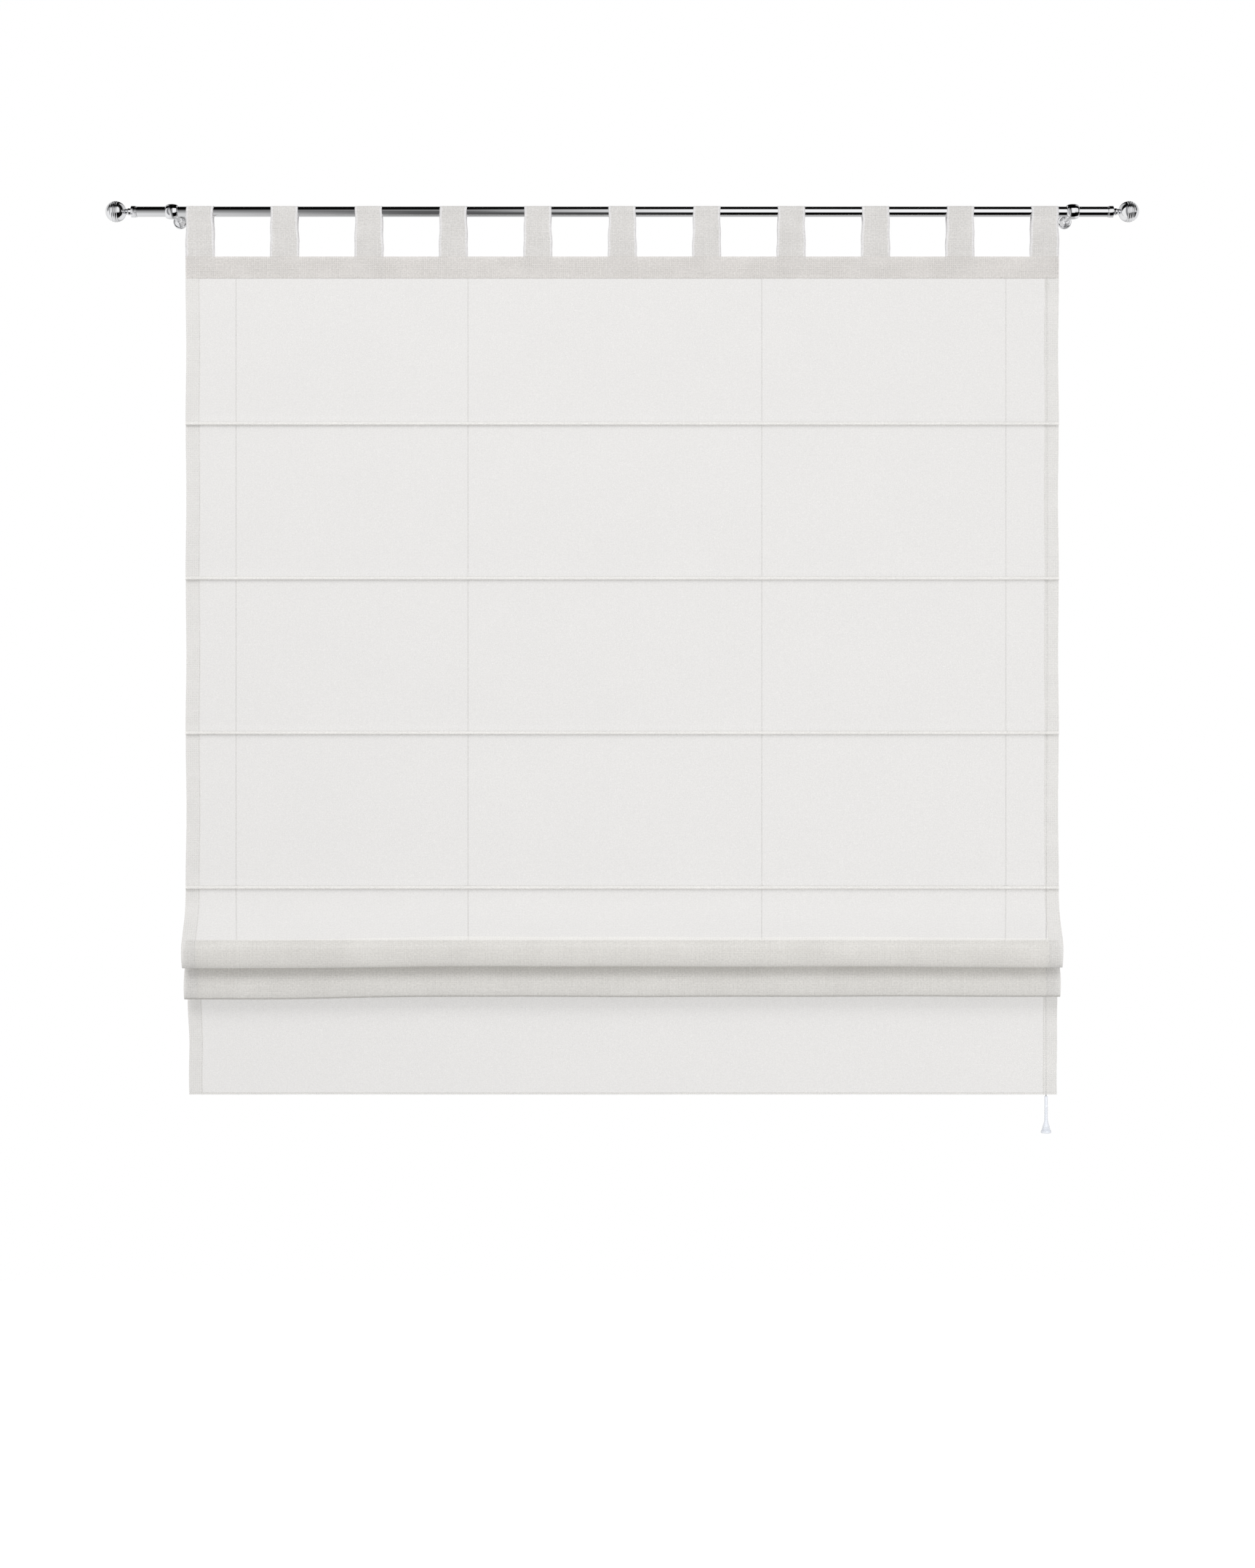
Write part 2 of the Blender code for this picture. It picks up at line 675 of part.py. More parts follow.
def make_finial(name, side, collection, material):
    """Ball, neck and collar turned in one, with a spigot that plugs into the rod."""
    waist_drop = (BALL_RADIUS**2 - WAIST_RADIUS**2) ** 0.5
    neck_top = COLLAR_LENGTH + NECK_LENGTH
    waist_angle = -atan2(waist_drop, WAIST_RADIUS) * 180 / pi
    spigot = ROD_RADIUS - ROD_WALL - FIT
    profile = ball_outline(neck_top + waist_drop, waist_angle)
    profile += [
        (WAIST_RADIUS, neck_top),
        (WAIST_RADIUS + 0.0008, neck_top - 0.0015),
        (NECK_RADIUS, neck_top - 0.0040),
        (NECK_RADIUS, COLLAR_LENGTH),
        (COLLAR_RADIUS - 0.0006, COLLAR_LENGTH),
        (COLLAR_RADIUS, COLLAR_LENGTH - 0.0006),
        (COLLAR_RADIUS, 2 * COLLAR_GROOVE),
        (COLLAR_RADIUS - COLLAR_GROOVE, 2 * COLLAR_GROOVE),
        (COLLAR_RADIUS - COLLAR_GROOVE, COLLAR_GROOVE),
        (COLLAR_RADIUS - 0.0004, COLLAR_GROOVE),
        (COLLAR_RADIUS - 0.0004, FIT),
        (spigot, FIT),
        (spigot, -SPIGOT_LENGTH + 0.001),
        (spigot - 0.001, -SPIGOT_LENGTH),
        (0.0, -SPIGOT_LENGTH),
    ]
    finial = lathe(name, profile, collection, material)
    point_along(finial, (side, 0, 0))
    finial.location = (side * ROD_LENGTH / 2, ROD_Y, 0.0)


def rosette_outline():
    """Arm and ribbed rosette from the holder's middle down to the wall, heights off the wall."""
    ribs_top = ROSETTE_RIM + ROSETTE_RIBS * RIB_PITCH
    outline = [(0.0, ROD_TO_WALL), (ARM_RADIUS, ROD_TO_WALL)]
    outline += [(ARM_RADIUS, ribs_top + 0.010), (ARM_RADIUS + 0.0010, ribs_top + 0.003)]
    for rib in reversed(range(ROSETTE_RIBS)):
        crest = RIB_BASE_RADIUS - RIB_TAPER * rib
        base = ROSETTE_RIM + RIB_PITCH * rib
        outline += [
            (crest - RIB_DEPTH, base + RIB_PITCH),
            (crest, base + RIB_PITCH * 0.72),
            (crest, base + RIB_PITCH * 0.28),
        ]
    outline += [
        (RIB_BASE_RADIUS - RIB_DEPTH, ROSETTE_RIM),
        (ROSETTE_RADIUS - 0.0012, ROSETTE_RIM),
        (ROSETTE_RADIUS, ROSETTE_RIM - 0.0012),
        (ROSETTE_RADIUS, 0.0),
        (0.0, 0.0),
    ]
    return outline


def make_bracket(name, side, collection, cutters, material):
    """A barrel holder round the rod, cast in one with its arm and hollow rosette."""
    half = HOLDER_WIDTH / 2
    bulge = arc((HOLDER_END_RADIUS, 0.0), (HOLDER_BULGE, half), 90, -90, 6)
    holder = lathe(name, [(0.0, half), *bulge, (0.0, -half)], collection, material)
    point_along(holder, (1, 0, 0))
    holder.location = (side * BRACKET_X, ROD_Y, 0.0)

    arm = hide_as_cutter(lathe(name + "_arm", rosette_outline(), cutters))
    point_along(arm, (0, -1, 0))
    arm.location = (side * BRACKET_X, 0.0, 0.0)
    add_boolean(holder, arm, "UNION")

    bore = ROD_RADIUS + FIT
    rod_space = [(0.0, half * 2), (bore, half * 2), (bore, -half * 2), (0.0, -half * 2)]
    rod_cutter = hide_as_cutter(lathe(name + "_rod_space", rod_space, cutters, steps=FINE_STEPS))
    point_along(rod_cutter, (1, 0, 0))
    rod_cutter.location = holder.location
    add_boolean(holder, rod_cutter, "DIFFERENCE")

    seat = DISC_RADIUS + FIT
    depth = DISC_THICKNESS + FIT
    disc_space = [(0.0, depth), (seat, depth), (seat, -depth), (0.0, -depth)]
    disc_cutter = hide_as_cutter(lathe(name + "_disc_space", disc_space, cutters))
    point_along(disc_cutter, (0, -1, 0))
    disc_cutter.location = arm.location
    add_boolean(holder, disc_cutter, "DIFFERENCE")


def make_wall_disc(name, side, collection, material):
    """The disc screwed to the wall that the rosette pushes over, countersunk for its screw."""
    hole = SCREW_SHANK_RADIUS + 2 * FIT
    sink = SCREW_HEAD_RADIUS + 2 * FIT
    profile = [
        (sink, DISC_THICKNESS),
        (DISC_RADIUS - 0.0005, DISC_THICKNESS),
        (DISC_RADIUS, DISC_THICKNESS - 0.0005),
        (DISC_RADIUS, 0.0),
        (hole, 0.0),
        (hole, DISC_THICKNESS - SCREW_HEAD_HEIGHT),
    ]
    disc = lathe(name, profile, collection, material, closed=True)
    point_along(disc, (0, -1, 0))
    disc.location = (side * BRACKET_X, 0.0, 0.0)


def make_wall_screw(name, side, collection, material):
    top = DISC_THICKNESS - FIT
    profile = [
        (0.0, top),
        (SCREW_HEAD_RADIUS, top),
        (SCREW_SHANK_RADIUS, top - SCREW_HEAD_HEIGHT),
        (SCREW_SHANK_RADIUS, top - SCREW_LENGTH + SCREW_POINT),
        (0.0, top - SCREW_LENGTH),
    ]
    screw = lathe(name, profile, collection, material, steps=12)
    point_along(screw, (0, -1, 0))
    screw.location = (side * BRACKET_X, 0.0, 0.0)


def main():
    clear_scene()
    parts = new_collection("voile_blind")
    cutters = new_collection("cutters")
    cutters.hide_render = True
    chrome = new_material("chrome", (0.78, 0.78, 0.80), 0.06, 1.0)
    steel = new_material("zinc_steel", (0.62, 0.62, 0.64), 0.35, 1.0)
    voile = new_material("voile", (0.80, 0.79, 0.75), 0.85)
    band = new_material("voile_band", (0.74, 0.71, 0.66), 0.85)
    fibre = new_material("pocket_rod_fibre", (0.86, 0.86, 0.84), 0.45)
    plastic = new_material("ring_plastic", (0.88, 0.89, 0.88), 0.30)
    cord = new_material("cord", (0.84, 0.84, 0.82), 0.75)
    pull = new_material("pull_plastic", (0.90, 0.90, 0.90), 0.25)
    make_curtain_rod(parts, chrome)
    for word, side in (("left", -1), ("right", 1)):
        make_finial(f"finial_{word}", side, parts, chrome)
        make_bracket(f"bracket_{word}", side, parts, cutters, chrome)
        make_wall_disc(f"wall_disc_{word}", side, parts, steel)
        make_wall_screw(f"wall_screw_{word}", side, parts, steel)
    make_panel(parts, voile)
    make_facing(parts, cutters, band)
    make_tabs(parts, band)
    make_pocket_rods(parts, fibre)
    make_rings(parts, plastic)
    make_lift_cords(parts, cord)
    make_joiner(parts, plastic)
    make_pull_cord(parts, cord)
    make_cord_pull(parts, pull)


main()
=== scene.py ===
"""The voile blind dressed: woven cloth with hems and stitching, chrome fittings, cords and pull.

Everything is in metres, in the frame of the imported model.
"""

from math import acos, atan2, ceil, cos, hypot, pi, radians, sin, sqrt

import bpy
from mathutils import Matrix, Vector


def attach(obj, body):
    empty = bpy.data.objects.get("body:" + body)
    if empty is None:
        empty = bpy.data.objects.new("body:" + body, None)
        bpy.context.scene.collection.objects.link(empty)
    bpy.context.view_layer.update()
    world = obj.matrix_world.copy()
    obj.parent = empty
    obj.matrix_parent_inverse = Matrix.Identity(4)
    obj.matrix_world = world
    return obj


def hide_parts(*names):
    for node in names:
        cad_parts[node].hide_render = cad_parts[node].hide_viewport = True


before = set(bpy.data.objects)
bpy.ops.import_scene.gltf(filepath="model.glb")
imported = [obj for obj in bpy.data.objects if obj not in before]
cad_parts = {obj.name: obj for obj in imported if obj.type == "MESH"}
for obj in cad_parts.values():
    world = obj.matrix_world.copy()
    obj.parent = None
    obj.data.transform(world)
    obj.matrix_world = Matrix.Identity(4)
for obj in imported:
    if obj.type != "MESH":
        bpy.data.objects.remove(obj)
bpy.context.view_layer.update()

# Sizes shared with the solids
FIT = 0.0003
BLIND_WIDTH = 1.400
ROD_LENGTH = 1.556
ROD_RADIUS = 0.008
ROD_WALL = 0.0012
ROD_Y = -0.080
BRACKET_X = 0.722
HEM = 0.0008
SIDE_HEM_WIDTH = 0.023
BOTTOM_HEM_HEIGHT = 0.0035
HEADER_DROP = 0.072
HEADER_HEIGHT = 0.035
FACING_THICKNESS = 0.0008
TAB_COUNT = 11
TAB_WIDTH = 0.0465
TAB_THICKNESS = 0.0008
TAB_TUCKED_IN = 0.028
FIRST_BAY = 0.2686
BAY = 0.248
FLAT_POCKETS = 4
POCKET_ROD_RADIUS = 0.0015
POCKET_NECK = 0.0032
GATHERED_DROPS = (0.0892, 0.1049)
GATHERED_SETBACKS = (0.005, 0.012)
BILLOW_REACHES = (0.0425, 0.0180)
BILLOW_DROPS = (0.1265, 0.1750)
BILLOW_NOSE_DEPTHS = (0.0115, 0.0080)
BILLOW_HANGS = (0.62, 0.45)
BILLOW_SWELLS = (0.22, 0.38)
BILLOW_RISE = 0.42
LAST_PANEL = 0.2280
RING_RADIUS = 0.0045
RING_WIRE = 0.0015
GUIDE_RADIUS = 0.00525
GUIDE_DROP = 0.020
LIFT_CORD_X = (-0.6202, -0.2478, 0.224, 0.616)
LIFT_CORD_RADIUS = 0.0006
LIFT_CORD_BEND = 0.003
LIFT_CORD_TAIL = 0.004
GUIDE_LEAD = 0.004
PULL_X = 0.682
PULL_CORD_RADIUS = 0.0007
JOINER_RADIUS = 0.0034
JOINER_LENGTH = 0.013
JOINER_TOP = -0.112
PULL_TOP = -1.4204
PULL_NECK_LENGTH = 0.038
PULL_NECK_RADIUS = 0.0027
PULL_BELL_LENGTH = 0.0215
PULL_BELL_RADIUS = 0.0083
COLLAR_LENGTH = 0.0095
COLLAR_RADIUS = 0.0090
COLLAR_GROOVE = 0.0010
NECK_LENGTH = 0.0085
NECK_RADIUS = 0.0054
WAIST_RADIUS = 0.0040
BALL_RADIUS = 0.0165
BALL_GROOVES = (-0.0030, 0.0004, 0.0037, 0.0070)
BALL_GROOVE_DEPTH = 0.0006
SPIGOT_LENGTH = 0.016
HOLDER_WIDTH = 0.0192
HOLDER_END_RADIUS = 0.0094
HOLDER_BULGE = 0.0026
ARM_RADIUS = 0.0045
ROSETTE_RADIUS = 0.0112
ROSETTE_RIM = 0.0046
ROSETTE_RIBS = 3
RIB_PITCH = 0.0030
RIB_DEPTH = 0.0009
RIB_TAPER = 0.0012
RIB_BASE_RADIUS = 0.0086
DISC_RADIUS = 0.0080
DISC_THICKNESS = 0.0032
SCREW_SHANK_RADIUS = 0.0020
SCREW_HEAD_RADIUS = 0.0040
SCREW_HEAD_HEIGHT = 0.0022
POCKETS = FLAT_POCKETS + len(GATHERED_DROPS)

LAYER_PITCH = HEM + FIT
LOOP_RADIUS = POCKET_ROD_RADIUS + FIT + HEM / 2
TAB_LEG_OFFSET = FIT / 2 + TAB_THICKNESS / 2
FRONT_Y = ROD_Y - FIT / 2 - TAB_THICKNESS - FIT - HEM / 2
FACING_Y = ROD_Y + FIT / 2 + TAB_THICKNESS + FIT + FACING_THICKNESS / 2
NECK_Y = FRONT_Y + LAYER_PITCH / 2
HEADER_BOTTOM = -HEADER_DROP - HEADER_HEIGHT
GUIDE_MAJOR = GUIDE_RADIUS - RING_WIRE / 2
GUIDE_Y = FACING_Y + GUIDE_MAJOR
GUIDE_Z = -HEADER_DROP - GUIDE_DROP
CORD_PITCH = 2 * LIFT_CORD_RADIUS + FIT
LOW_LANE_Z = GUIDE_Z - GUIDE_MAJOR + RING_WIRE / 2 + 2 * FIT + 2 * LIFT_CORD_RADIUS
LAST_ROD_Z = -HEADER_DROP - FIRST_BAY - BAY * (FLAT_POCKETS - 1)

# The scene's own: folds with rounder noses than the solids have, cloth edges, the camera
BILLOW_NOSE_HEIGHTS = (0.0300, 0.0210)
TAB_EDGE = 0.0036
FACING_CLOTH = 0.0007
HEM_COLUMNS = (0.6850, 0.6925)
SEAM_INSET = 0.001
SIDES = (("left", -1), ("right", 1))
CAMERA_PLACE = (0.0084, -4.28, -0.918)
CAMERA_LENS = 60.11

# Yarns and stitches; covers are the shares of alpha that a feature adds
YARN_PITCH = 0.0016
YARN_COVER = 0.10
SLUB_COVER = 0.07
SPECK_COVER = 0.36
LAYER_GRID = 0.0034
# Band of painted shade round the lower fold's nose bottom: darker cloth there, denser where the cloth is
# seen edge-on
CREASE_SHADE_ABOVE = 0.0055
CREASE_SHADE_BEHIND = 0.0030
STITCH_PITCH = 0.0030
STITCH_LENGTH = 0.0023
STITCH_RADIUS = 0.00017
STITCH_LIFT = 0.0001


# Node building


def new_material(name, roughness, metallic=0.0):
    material = bpy.data.materials.new(name)
    material.use_nodes = True
    tree = material.node_tree
    shader = tree.nodes["Principled BSDF"]
    shader.inputs["Roughness"].default_value = roughness
    shader.inputs["Metallic"].default_value = metallic
    return material, tree, shader


def feed(tree, socket, value):
    if isinstance(value, bpy.types.NodeSocket):
        tree.links.new(value, socket)
    else:
        socket.default_value = value


def calc(tree, operation, *values, clamp=False):
    made = tree.nodes.new("ShaderNodeMath")
    made.operation = operation
    made.use_clamp = clamp
    for socket, value in zip(made.inputs, values):
        feed(tree, socket, value)
    return made.outputs[0]


def mix_colors(tree, share, first, second):
    made = tree.nodes.new("ShaderNodeMix")
    made.data_type = "RGBA"
    feed(tree, made.inputs[0], share)
    feed(tree, made.inputs[6], (*first, 1.0) if isinstance(first, tuple) else first)
    feed(tree, made.inputs[7], (*second, 1.0) if isinstance(second, tuple) else second)
    return made.outputs[2]


def separate(tree, vector):
    made = tree.nodes.new("ShaderNodeSeparateXYZ")
    tree.links.new(vector, made.inputs[0])
    return tuple(made.outputs)


def tint(tree, shader, share, deep, pale):
    tree.links.new(mix_colors(tree, share, deep, pale), shader.inputs["Base Color"])


def noise(tree, vector, stretch, detail=2.0, roughness=0.5):
    scaled = tree.nodes.new("ShaderNodeVectorMath")
    scaled.operation = "MULTIPLY"
    feed(tree, scaled.inputs[0], vector)
    scaled.inputs[1].default_value = stretch
    made = tree.nodes.new("ShaderNodeTexNoise")
    made.inputs["Scale"].default_value = 1.0
    made.inputs["Detail"].default_value = detail
    made.inputs["Roughness"].default_value = roughness
    feed(tree, made.inputs["Vector"], scaled.outputs[0])
    return made.outputs["Fac"]


def ramp(tree, value, stops):
    made = tree.nodes.new("ShaderNodeValToRGB")
    elements = made.color_ramp.elements
    while len(elements) < len(stops):
        elements.new(0.5)
    for element, (place, shade) in zip(elements, stops):
        element.position = place
        element.color = (shade, shade, shade, 1.0)
    feed(tree, made.inputs[0], value)
    return made.outputs[0]


def bump(tree, shader, height, strength, distance):
    made = tree.nodes.new("ShaderNodeBump")
    made.inputs["Strength"].default_value = strength
    made.inputs["Distance"].default_value = distance
    feed(tree, made.inputs["Height"], height)
    tree.links.new(made.outputs["Normal"], shader.inputs["Normal"])


def stripes(tree, place, pitch):
    """0 to 1 and back once in each pitch."""
    angle = calc(tree, "MULTIPLY", place, 2 * pi / pitch)
    return calc(tree, "MULTIPLY_ADD", calc(tree, "SINE", angle), 0.5, 0.5)


def cloth_material(name, pale, deep, cover, grid=0.0):
    """Sheer plain weave; where layers lie over each other, their yarns show as a dotted grid."""
    material, tree, shader = new_material(name, 0.85)
    shader.inputs["Sheen Weight"].default_value = 0.15
    shader.inputs["Sheen Roughness"].default_value = 0.55
    shader.inputs["Specular IOR Level"].default_value = 0.20
    flat = tree.nodes.new("ShaderNodeAttribute")
    flat.attribute_name = "weave"
    place = flat.outputs["Vector"]
    across, along, _ = separate(tree, place)
    warp = stripes(tree, across, YARN_PITCH)
    weft = stripes(tree, along, YARN_PITCH)
    yarns = calc(tree, "MAXIMUM", warp, weft)
    warp_slubs = noise(tree, place, (420.0, 9.0, 1.0), 2.0)
    weft_slubs = noise(tree, place, (8.0, 460.0, 1.0), 2.0)
    slubs = calc(tree, "ADD", calc(tree, "ADD", warp_slubs, weft_slubs), -1.0)
    specks = calc(tree, "SUBTRACT", noise(tree, place, (330.0, 350.0, 1.0), 2.0, 0.7), 0.5)
    clouds = calc(tree, "SUBTRACT", noise(tree, place, (9.0, 11.0, 1.0), 3.0, 0.55), 0.5)
    alpha = calc(tree, "MULTIPLY_ADD", slubs, SLUB_COVER, cover)
    alpha = calc(tree, "MULTIPLY_ADD", specks, SPECK_COVER, alpha)
    alpha = calc(tree, "MULTIPLY_ADD", clouds, 0.10, alpha)
    alpha = calc(tree, "MULTIPLY_ADD", yarns, YARN_COVER, calc(tree, "SUBTRACT", alpha, 0.75 * YARN_COVER))
    tone = calc(tree, "MULTIPLY_ADD", slubs, 0.22, 0.55)
    tone = calc(tree, "MULTIPLY_ADD", specks, 1.1, tone)
    tone = calc(tree, "MULTIPLY_ADD", clouds, 0.5, tone)
    if grid:
        dots = calc(tree, "MULTIPLY", stripes(tree, across, LAYER_GRID), stripes(tree, along, LAYER_GRID))
        patches = ramp(tree, noise(tree, place, (16.0, 30.0, 1.0), 1.0), [(0.36, 0.15), (0.60, 1.0)])
        dots = calc(tree, "MULTIPLY", dots, patches)
        tone = calc(tree, "MULTIPLY_ADD", dots, -grid, calc(tree, "ADD", tone, 0.25 * grid))
    tone = calc(tree, "MULTIPLY", tone, 1.0, clamp=True)
    tint(tree, shader, tone, deep, pale)
    tree.links.new(calc(tree, "MULTIPLY", alpha, 1.0, clamp=True), shader.inputs["Alpha"])
    relief = calc(tree, "MULTIPLY_ADD", yarns, 0.4, calc(tree, "MULTIPLY", specks, 1.2))
    relief = calc(tree, "MULTIPLY_ADD", slubs, 0.3, relief)
    bump(tree, shader, relief, 0.18, 0.0006)
    return material


def metal_material(name, pale, deep, rough, wear):
    material, tree, shader = new_material(name, rough, 1.0)
    place = tree.nodes.new("ShaderNodeTexCoord").outputs["Object"]
    smears = noise(tree, place, (60.0, 60.0, 60.0), 3.0)
    fine = noise(tree, place, (900.0, 900.0, 900.0), 2.0)
    tint(tree, shader, smears, deep, pale)
    spread = calc(tree, "MULTIPLY_ADD", smears, wear, rough - wear / 2)
    tree.links.new(spread, shader.inputs["Roughness"])
    bump(tree, shader, fine, 0.02, 0.0001)
    return material


def plastic_material(name, pale, deep, rough, coat):
    material, tree, shader = new_material(name, rough)
    shader.inputs["Coat Weight"].default_value = coat
    shader.inputs["Coat Roughness"].default_value = 0.08
    place = tree.nodes.new("ShaderNodeTexCoord").outputs["Object"]
    clouds = noise(tree, place, (140.0, 140.0, 140.0), 2.0)
    grain = noise(tree, place, (1600.0, 1600.0, 1600.0), 2.0)
    tint(tree, shader, clouds, deep, pale)
    spread = calc(tree, "MULTIPLY_ADD", clouds, 0.10, rough - 0.05)
    tree.links.new(spread, shader.inputs["Roughness"])
    bump(tree, shader, grain, 0.05, 0.0001)
    return material


def braid_material(name, pale, deep, pitch):
    """Strands crossing both ways round a cord that runs mostly up and down."""
    material, tree, shader = new_material(name, 0.7)
    shader.inputs["Sheen Weight"].default_value = 0.2
    place = tree.nodes.new("ShaderNodeTexCoord").outputs["Object"]
    x, y, z = separate(tree, place)
    side = calc(tree, "ADD", x, y)
    one = stripes(tree, calc(tree, "ADD", z, side), pitch)
    other = stripes(tree, calc(tree, "SUBTRACT", z, side), pitch)
    strands = calc(tree, "MAXIMUM", one, other)
    fuzz = noise(tree, place, (1100.0, 1100.0, 1100.0), 2.0)
    tone = calc(tree, "MULTIPLY_ADD", fuzz, 0.4, calc(tree, "MULTIPLY", strands, 0.6))
    tint(tree, shader, tone, deep, pale)
    bump(tree, shader, strands, 0.5, 0.0002)
    return material


# Mesh building


def finish_piece(piece, replaced=()):
    if replaced:
        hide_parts(*replaced)
    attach(piece, "root")
    return piece


def add_object(name, data):
    piece = bpy.data.objects.new(name, data)
    bpy.context.scene.collection.objects.link(piece)
    return piece


def add_mesh(name, vertices, faces, material, sharp=None):
    mesh = bpy.data.meshes.new(name)
    mesh.from_pydata(vertices, [], faces)
    mesh.validate()
    mesh.shade_smooth()
    if sharp:
        mesh.set_sharp_from_angle(angle=radians(sharp))
    for each in material if isinstance(material, list) else [material]:
        mesh.materials.append(each)
    return add_object(name, mesh)


def turned(profile, steps, axis, location, closed=False):
    """Vertices and faces of a profile of (radius, height) points turned about an axis."""
    swing = Vector((0, 0, 1)).rotation_difference(Vector(axis)).to_matrix()
    place = Vector(location)
    vertices, rings, faces = [], [], []
    for radius, height in profile:
        count = steps if radius > 1e-6 else 1
        rings.append([len(vertices) + k for k in range(count)])
        for k in range(count):
            angle = 2 * pi * k / steps
            point = Vector((radius * cos(angle), radius * sin(angle), height))
            vertices.append(swing @ point + place)
    pairs = list(zip(rings, rings[1:]))
    if closed:
        pairs.append((rings[-1], rings[0]))
    for upper, lower in pairs:
        for k in range(steps):
            n = (k + 1) % steps
            if len(upper) > 1 and len(lower) > 1:
                faces.append((upper[k], lower[k], lower[n], upper[n]))
            elif len(lower) > 1:
                faces.append((upper[0], lower[k], lower[n]))
            elif len(upper) > 1:
                faces.append((upper[k], lower[0], upper[n]))
    return vertices, faces


def joined(*shapes):
    vertices, faces = [], []
    for some_vertices, some_faces in shapes:
        offset = len(vertices)
        vertices += some_vertices
        faces += [tuple(offset + k for k in face) for face in some_faces]
    return vertices, faces


def arc(center, radii, start, end, steps):
    angles = [radians(start + (end - start) * i / steps) for i in range(steps + 1)]
    return [(center[0] + radii[0] * cos(a), center[1] + radii[1] * sin(a)) for a in angles]


def cubic(start, start_handle, end_handle, end, steps):
    points = []
    for i in range(1, steps + 1):
        t = i / steps
        weights = ((1 - t) ** 3, 3 * t * (1 - t) ** 2, 3 * t * t * (1 - t), t**3)
        corners = (start, start_handle, end_handle, end)
        points.append(tuple(sum(w * c[k] for w, c in zip(weights, corners)) for k in (0, 1)))
    return points


def divided(path, longest):
    """The path with its straight stretches cut into pieces no longer than that."""
    result = [path[0]]
    for a, b in zip(path, path[1:]):
        count = max(1, ceil(hypot(b[0] - a[0], b[1] - a[1]) / longest))
        for i in range(1, count + 1):
            result.append((a[0] + (b[0] - a[0]) * i / count, a[1] + (b[1] - a[1]) * i / count))
    return result


def running_lengths(path):
    lengths = [0.0]
    for a, b in zip(path, path[1:]):
        lengths.append(lengths[-1] + hypot(b[0] - a[0], b[1] - a[1]))
    return lengths


def smooth_step(value):
    t = min(max(value, 0.0), 1.0)
    return t * t * (3 - 2 * t)


# Camera, at the photograph's place: level, square on, a little below the curtain rod

camera_data = bpy.data.cameras.new("camera")
camera_data.sensor_fit = "VERTICAL"
camera_data.sensor_height = 36.0
camera_data.lens = CAMERA_LENS
camera = add_object("camera", camera_data)
camera.location = CAMERA_PLACE
camera.rotation_euler = (radians(90), 0.0, 0.0)
bpy.context.scene.camera = camera


# Pull cord, hanging free from the joiner to the bell pull

cord_white = braid_material("cord_braid", (0.80, 0.80, 0.78), (0.42, 0.42, 0.42), 0.0024)
cord_grey = braid_material("pull_cord_weave", (0.36, 0.37, 0.39), (0.12, 0.12, 0.13), 0.0024)


def cord_curve(name, route, radius, material):
    curve = bpy.data.curves.new(name, "CURVE")
    curve.dimensions = "3D"
    curve.bevel_depth = radius
    curve.bevel_resolution = 3
    curve.use_fill_caps = True
    spline = curve.splines.new("POLY")
    spline.points.add(len(route) - 1)
    for point, place in zip(spline.points, route):
        point.co = (*place, 1.0)
    spline.use_smooth = True
    curve.materials.append(material)
    return add_object(name, curve)


def smooth_route(points, stations):
    knots = [Vector(p) for p in points]
    ends = [2 * knots[0] - knots[1], *knots, 2 * knots[-1] - knots[-2]]
    dense = []
    for before, a, b, after in zip(ends, ends[1:], ends[2:], ends[3:]):
        for i in range(24):
            t = i / 24
            dense.append(
                a
                + (b - before) * (t / 2)
                + (2 * before - 5 * a + 4 * b - after) * (t * t / 2)
                + (3 * a - before - 3 * b + after) * (t**3 / 2)
            )
    dense.append(knots[-1])
    lengths = [0.0]
    for a, b in zip(dense, dense[1:]):
        lengths.append(lengths[-1] + (b - a).length)
    route, segment = [], 0
    for i in range(stations):
        wanted = lengths[-1] * i / (stations - 1)
        while segment < len(dense) - 2 and lengths[segment + 1] < wanted:
            segment += 1
        span = lengths[segment + 1] - lengths[segment]
        share = min((wanted - lengths[segment]) / span, 1.0)
        route.append(dense[segment].lerp(dense[segment + 1], share))
    return route


PULL_CORD_ROUTE = [
    (0.6820, -0.07385, -0.1253),
    (0.6820, -0.07385, -0.1494),
    (0.6821, -0.07380, -0.2404),
    (0.6823, -0.07360, -0.3596),
    (0.6825, -0.07330, -0.4801),
    (0.6826, -0.07290, -0.6006),
    (0.6826, -0.07230, -0.7197),
    (0.6825, -0.07150, -0.8402),
    (0.6823, -0.07030, -0.9607),
    (0.6822, -0.06860, -1.0705),
    (0.6821, -0.06630, -1.1495),
    (0.6820, -0.06500, -1.2004),
    (0.6820, -0.06480, -1.2807),
    (0.6820, -0.06480, -1.3598),
    (0.6820, -0.06480, -1.4200),
    (0.6820, -0.06480, -1.4640),
]
pull_route = smooth_route(PULL_CORD_ROUTE, 110)
pull_cord = cord_curve("pull_cord_braid", pull_route, PULL_CORD_RADIUS, cord_grey)
finish_piece(pull_cord, ["pull_cord"])


def knot_shape(place, r):
    """A tight stopper knot: three fat wraps round the end of a cord of radius r."""
    wrap = 2.1 * r
    profile = [(0.0, 1.6 * r)]
    for turn in range(3):
        top = 1.6 * r - turn * 1.35 * r
        profile += arc((wrap * 0.52, top - 0.68 * r), (wrap * 0.48, 0.68 * r), 80, -80, 5)
    profile.append((0.0, -2.6 * r))
    return turned(profile, 20, (0, 0, 1), place)


pull_knot_shape = knot_shape(pull_route[-1] - Vector((0, 0, 0.0006)), PULL_CORD_RADIUS)
pull_knot = add_mesh("pull_cord_knot", *pull_knot_shape, cord_grey)
finish_piece(pull_knot)

pull_white = plastic_material("pull_gloss", (0.86, 0.88, 0.92), (0.76, 0.79, 0.85), 0.16, 0.6)


